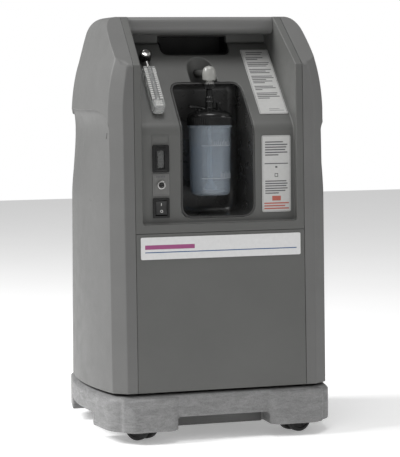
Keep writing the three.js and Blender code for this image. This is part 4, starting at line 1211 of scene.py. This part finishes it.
def build_hour_meter():
    bezel = prism(column(14, 443, 487.5, 2), "y", FACE_Y - 2.6, FACE_Y)
    rim = prism(column(9.2, 446, 483.5, 1.5), "y", FACE_Y - 3.4, FACE_Y - 2)
    join(bezel, rim, prism(column(11.6, 446.5, 483.5), "y", FACE_Y - 0.5, FACE_Y + 42))
    cut(bezel, prism(column(6, 449, 479, 1), "y", FACE_Y - 4, FACE_Y + 3))
    soften(bezel, 0.5, 2, 60)
    dress(bezel, "meter_bezel", "cabinet", BLACK, "black", "hour_meter_body")
    drums = [(CONTROLS_X - 4.6, CONTROLS_X + 4.6, 451 + 5.4 * i, 455.4 + 5.4 * i) for i in range(5)]
    dress(bars(drums, FACE_Y + 2.6, 0.8, "meter_drums"), "meter_drums", "cabinet", INK_PALE, "label")
    glass = prism(column(5.6, 449.5, 478.5, 0.8), "y", FACE_Y - 0.4, FACE_Y + 1.4)
    dress(soften(glass, 0.3, 2, 50), "meter_glass", "cabinet", GLASS, "label", "hour_meter_window")
    outline_bars = frame_bars(CONTROLS_X - 14.5, CONTROLS_X + 14.5, 490.5, 504, 0.8)
    dress(bars(outline_bars, RECESS_Y, 0.5, "raised_frame"), "raised_frame", "cabinet", PANEL, "panel")


def build_breaker():
    plate = prism(column(13.8, 405, 440.5, 1.5), "y", FACE_Y - 0.8, FACE_Y)
    join(plate, rod("y", 5.3, FACE_Y - 1, FACE_Y + 26, (CONTROLS_X, RING_Z), 48))
    cut(plate, rod("y", 4.1, FACE_Y - 10, FACE_Y + 10, (CONTROLS_X, RING_Z), 48))
    soften(plate, 0.25, 2, 60)
    dress(plate, "breaker_plate", "cabinet", BREAKER_PLATE, "steel", "breaker_body")
    ring = ribbed([(0.8, 6.4), (1.2, 7), (3.9, 7), (4.4, 6.3)], 20, 0.7, "breaker_ring")
    cut(ring, turned([(0, -1), (4.5, -1), (4.5, 4), (5.2, 5), (0, 5)], steps=48))
    move(ring, (CONTROLS_X, FACE_Y, RING_Z), 90, "X")
    dress(smooth(ring, 45), "breaker_ring", "cabinet", CHROME, "steel")
    button = turned(rounded([
        (0, -6), (3.8, -6), (3.8, 6.2, 1), (2.6, 6.2, 0.4), (2.2, 5.7, 0.3), (0, 5.7)], 5), steps=48)
    move(button, (CONTROLS_X, FACE_Y, RING_Z), 90, "X")
    dress(smooth(button, 45), "breaker_push_button", "breaker_button", BLACK, "black", "breaker_button")
    marks = [(CONTROLS_X - 8 + 2.6 * i, CONTROLS_X - 6.4 + 2.6 * i, 434.6, 437.4) for i in range(6)]
    marks += frame_bars(CONTROLS_X - 11.5, CONTROLS_X + 11.5, 406.8, 438.8, 0.35)
    dress(bars(marks, FACE_Y - 0.8, 0.06, "breaker_marks"), "breaker_marks", "cabinet", INK, "steel")


def build_switch():
    rim = prism(column(13.9, SWITCH_Z - 16.2, SWITCH_Z + 16.2, 1.5),
                "y", FACE_Y - 2.2, FACE_Y)
    join(rim, prism(column(11.2, SWITCH_Z - 13.7, SWITCH_Z + 13.7),
                    "y", FACE_Y - 0.5, FACE_Y + 24))
    cut(rim, prism(column(9.6, SWITCH_Z - 12.2, SWITCH_Z + 12.2),
                   "y", FACE_Y - 10, FACE_Y + 12))
    soften(rim, 0.5, 2, 60)
    dress(rim, "switch_surround", "cabinet", BLACK, "black", "switch_frame")
    face = FACE_Y - 2.4
    rocker = prism(outline([
        (face + 3, -11), (face - 0.6, -11, 0.6), (face + 1.4, 0), (face - 0.6, 11, 0.6), (face + 3, 11),
        (face + 8, 3, 2), (face + 8, -3, 2)], 5), "x", CONTROLS_X - 9.3, CONTROLS_X + 9.3)
    pivot = Matrix.Translation(Vector((0, face + 5, SWITCH_Z)) * MM)
    back_to_axis = Matrix.Translation(Vector((0, -face - 5, 0)) * MM)
    rest = pivot @ Matrix.Rotation(math.radians(-5), 4, "X") @ back_to_axis
    dress(soften(lay(rocker, rest), 0.4, 2, 50), "rocker_paddle", "switch_rocker", SATIN_BLACK, "black",
          "switch_rocker")
    stroke = block(-0.5, 0.5, -0.06, 0, -2.2, 2.2)
    ring = cut(rod("y", 2.3, -0.06, 0, (0, 0), 40), rod("y", 1.5, -1, 1, (0, 0), 40))
    tilt = math.degrees(math.atan2(2.0, 11.0))
    lay(move(stroke, spin=tilt, axis="X"), Matrix.Translation(Vector((CONTROLS_X, face + 0.35, 5.6)) * MM))
    lay(move(ring, spin=-tilt, axis="X"), Matrix.Translation(Vector((CONTROLS_X, face + 0.35, -5.6)) * MM))
    marks = lay(merged("rocker_marks", [stroke, ring]), rest)
    dress(marks, "rocker_marks", "switch_rocker", WHITE_INK, "black")


build_hour_meter()
build_breaker()
build_switch()

# ---------------------------------------------------------------- labels

SHEET = 0.8
INK_LIFT = 0.06


def text_rows(x0, x1, top, groups, pitch, height):
    """Rules that stand for lines of print: each group is a list of line lengths, 0 to 1."""
    rows = []
    z = top
    for lines in groups:
        for share in lines:
            rows.append((x0, x0 + (x1 - x0) * share, z - height, z))
            z -= pitch
        z -= pitch * 1.1
    return rows


def build_labels():
    upper = text_rows(88, 121, 84, [[0.9, 0.8]], 4.6, 1.7)
    upper += text_rows(85, 126, 71, [
        [0.75, 0.5], [0.95, 0.9, 0.8], [0.95, 0.7, 0.85], [0.9, 0.95, 0.6, 0.85, 0.5], [0.8, 0.9, 0.3],
        [0.9, 0.85, 0.95, 0.5]], 4.0, 1.9)
    upper += text_rows(98, 124, -53, [[0.7, 1.0]], 3.6, 0.9)
    sheet_y = -GAP - SHEET
    dress(lay(bars(upper, sheet_y, INK_LIFT, "upper_label_rules"), SLANT),
          "upper_label_rules", "cabinet", INK, "label")
    edge = frame_bars(80.6, 127.9, -63.8, 88.8, 0.45)
    dress(lay(bars(edge, sheet_y, INK_LIFT, "upper_label_border"), SLANT),
          "upper_label_border", "cabinet", INK, "label")

    low_y = RECESS_Y - GAP - SHEET
    lower = text_rows(81, 120, 490, [[0.8, 1.0, 0.95, 0.9, 1.0, 0.6]], 4.3, 1.9)
    lower += text_rows(80, 121, 454, [[1.0]], 4.6, 1.5)
    lower += text_rows(81, 120, 425, [[0.95, 1.0, 0.95, 1.0, 0.9, 0.6]], 4.0, 1.8)
    lower += [(98.6, 102.4, 446, 449)]
    lower += frame_bars(97.5, 103.5, 431, 437, 1.1)
    lower += frame_bars(76.6, 124.4, 374.1, 498.9, 0.4)
    dress(bars(lower, low_y, INK_LIFT, "lower_label_rules"), "lower_label_rules", "cabinet", INK, "label")
    warm = text_rows(79, 122, 388.5, [[1.0, 0.85, 1.0]], 4.4, 2.2)
    warm += [(93, 108, 391.5, 399.5)]
    dress(bars(warm, low_y, INK_LIFT, "lower_label_block"), "lower_label_block", "cabinet", RED_INK, "label")

    lean = math.atan(FRONT_LEAN)
    strip_place = Matrix.Translation(Vector((0, front_at(320) - GAP, 320)) * MM)
    strip_frame = strip_place @ Matrix.Rotation(-lean, 4, "X")
    blue = [(-130, 130, -7.4, -5.8)]
    plum = [(-130, -46, -1.6, 5.4)]
    for rows, ink, name in ((blue, BLUE_INK, "strip_rule"), (plum, PLUM_INK, "strip_band")):
        print_piece = lay(bars(rows, -SHEET, INK_LIFT, name), strip_frame)
        dress(print_piece, name, "cabinet", ink, "label")


build_labels()

# ---------------------------------------------------------------- casters

TRAIL = 12.0
WHEEL_RADIUS = 25.0
CASTERS = {
    "front_left": (-124, -136, 34),
    "front_right": (124, -136, -66),
    "rear_left": (-124, 136, -20),
    "rear_right": (124, 136, 28),
}


def caster_matrix(place_name):
    x, y, degrees = CASTERS[place_name]
    return Matrix.Translation(Vector((x, y, 0)) * MM) @ Matrix.Rotation(math.radians(degrees), 4, "Z")


def build_wheel(side):
    tyre = turned(rounded([
        (0, 5), (23.6, 5, 0.6), (WHEEL_RADIUS, 7, 1.2), (WHEEL_RADIUS, 15.2, 1.6), (23.2, 17, 1.2),
        (19.4, 17, 0.8), (18.4, 15.4, 0.6), (8, 15, 1), (6.6, 16.2, 0.5), (0, 16.2)], 6), steps=96)
    cut(tyre, bore(3.3, 0, 30, steps=32))
    for i in range(5):
        window = outline([(9.5, -3.2, 1), (16.6, -5, 1.5), (16.6, 5, 1.5), (9.5, 3.2, 1)], 4)
        cut(tyre, move(prism(window, "z", 14.2, 20), spin=72 * i))
    move(tyre, spin=90, axis="Y")
    if side == "left":
        tyre.data.transform(Matrix.Scale(-1, 4, (1, 0, 0)))
        tyre.data.flip_normals()
    return move(smooth(tyre, 45), (0, TRAIL, WHEEL_RADIUS))


def build_casters():
    for place_name in CASTERS:
        matrix = caster_matrix(place_name)
        for side in ("left", "right"):
            wheel = lay(build_wheel(side), matrix)
            body = f"{place_name}_wheel_{side}"
            dress(wheel, f"{body}_tyre", body, RUBBER, "rubber", body)


build_casters()

# ---------------------------------------------------------------- finishes of the CAD nodes in view

NODE_FINISHES = {
    "cabinet_filter": FOAM,
    "power_cord_gland": SATIN_BLACK,
    "flowmeter_fitting": CHROME,
    "front_strip_label": STRIP,
    "upper_label": LABEL,
    "lower_label": LABEL,
    "flowmeter_scale": SCALE_BACK,
    "equipment_deck": STEEL,
    "bulkhead": STEEL,
    "compressor": ALUMINIUM,
    "sieve_bed_left": ALUMINIUM,
    "sieve_bed_right": ALUMINIUM,
    "product_tank": STEEL,
    "valve_block": ALUMINIUM,
    "control_board": BOARD,
    "fan_shroud": SATIN_BLACK,
    "fan_rotor": SATIN_BLACK,
    "intake_muffler": SATIN_BLACK,
    "heat_exchanger_coil": ALUMINIUM,
    "pressure_regulator": STEEL,
    "bacteria_filter": WHITE,
    "run_capacitor": STEEL,
}
for corner in ("front_left", "front_right", "rear_left", "rear_right"):
    NODE_FINISHES[f"{corner}_caster_frame"] = BLACK

for node, finish in NODE_FINISHES.items():
    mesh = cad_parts[node].data
    mesh.materials.clear()
    mesh.materials.append(finish)
    if node not in ("heat_exchanger_coil", "fan_rotor"):
        soften_node(node, 0.25 if "label" in node or "scale" in node else 0.6)

# ---------------------------------------------------------------- camera, light and floor


WORLD_LIGHT = 0.27
CAMERA_PLACE = (-0.8791, -3.1072, 0.5991)
CAMERA_ANGLES = (15.964, 4.644, 0.607)
CAMERA_LENS = 147.68
FLOOR_HALF = 6
# Each light's place, the point it aims at, its size in metres and its power in watts.
LIGHTS = {
    "left": ((-2.6, 0.2, 2.3), (0, 0, 0.4), 1.6, 112),
    "right": ((2.8, -1.6, 1.6), (0, 0, 0.4), 1.2, 14),
    "top": ((-0.1, -0.8, 3.1), (0, 0, 0.5), 1.4, 30),
}


def build_camera():
    yaw, pitch, roll = (math.radians(angle) for angle in CAMERA_ANGLES)
    forward = Vector((math.sin(yaw) * math.cos(pitch), math.cos(yaw) * math.cos(pitch), -math.sin(pitch)))
    level = Vector((math.cos(yaw), -math.sin(yaw), 0))
    upright = level.cross(forward)
    right = level * math.cos(roll) - upright * math.sin(roll)
    up = level * math.sin(roll) + upright * math.cos(roll)
    camera = bpy.data.objects.new("camera", bpy.data.cameras.new("camera"))
    camera.data.sensor_width = 36
    camera.data.lens = CAMERA_LENS
    turn = Matrix((right, up, -forward)).transposed().to_4x4()
    camera.matrix_world = Matrix.Translation(CAMERA_PLACE) @ turn
    bpy.context.scene.collection.objects.link(camera)
    bpy.context.scene.camera = camera


def add_light(name, position, aim, size, power):
    light = bpy.data.objects.new(name, bpy.data.lights.new(name, "AREA"))
    light.data.shape = "DISK"
    light.data.size = size
    light.data.energy = power
    light.location = position
    light.rotation_euler = (Vector(aim) - Vector(position)).to_track_quat("-Z", "Y").to_euler()
    bpy.context.scene.collection.objects.link(light)


def build_studio():
    floor_mesh = bpy.data.meshes.new("floor")
    half = FLOOR_HALF
    corners = [(-half, -half, 0), (half, -half, 0), (half, half, 0), (-half, half, 0)]
    floor_mesh.from_pydata(corners, [], [(0, 1, 2, 3)])
    floor = bpy.data.objects.new("floor", floor_mesh)
    bpy.context.scene.collection.objects.link(floor)
    tree, shader, paper = new_material("paper_floor")
    cloudy = noise(tree, place(tree), 3, 3, 0.5)
    drive(tree, shader, "Base Color", cloudy, (0.3, shade(0.93)), (0.7, shade(0.95)))
    shader.inputs["Roughness"].default_value = 0.9
    shader.inputs["Emission Color"].default_value = (1, 1, 1, 1)
    shader.inputs["Emission Strength"].default_value = 0.3
    floor.data.materials.append(paper)

    world = bpy.data.worlds.new("studio")
    world.use_nodes = True
    background = world.node_tree.nodes["Background"]
    background.inputs["Color"].default_value = (1, 1, 1, 1)
    seen = world.node_tree.nodes.new("ShaderNodeLightPath")
    strength = world.node_tree.nodes.new("ShaderNodeMapRange")
    strength.inputs["To Min"].default_value = WORLD_LIGHT
    strength.inputs["To Max"].default_value = 1.0
    world.node_tree.links.new(seen.outputs["Is Camera Ray"], strength.inputs["Value"])
    world.node_tree.links.new(strength.outputs["Result"], background.inputs["Strength"])
    bpy.context.scene.world = world
    bpy.context.scene.view_settings.view_transform = "Standard"
    for name, settings in LIGHTS.items():
        add_light(name, *settings)


build_camera()
build_studio()
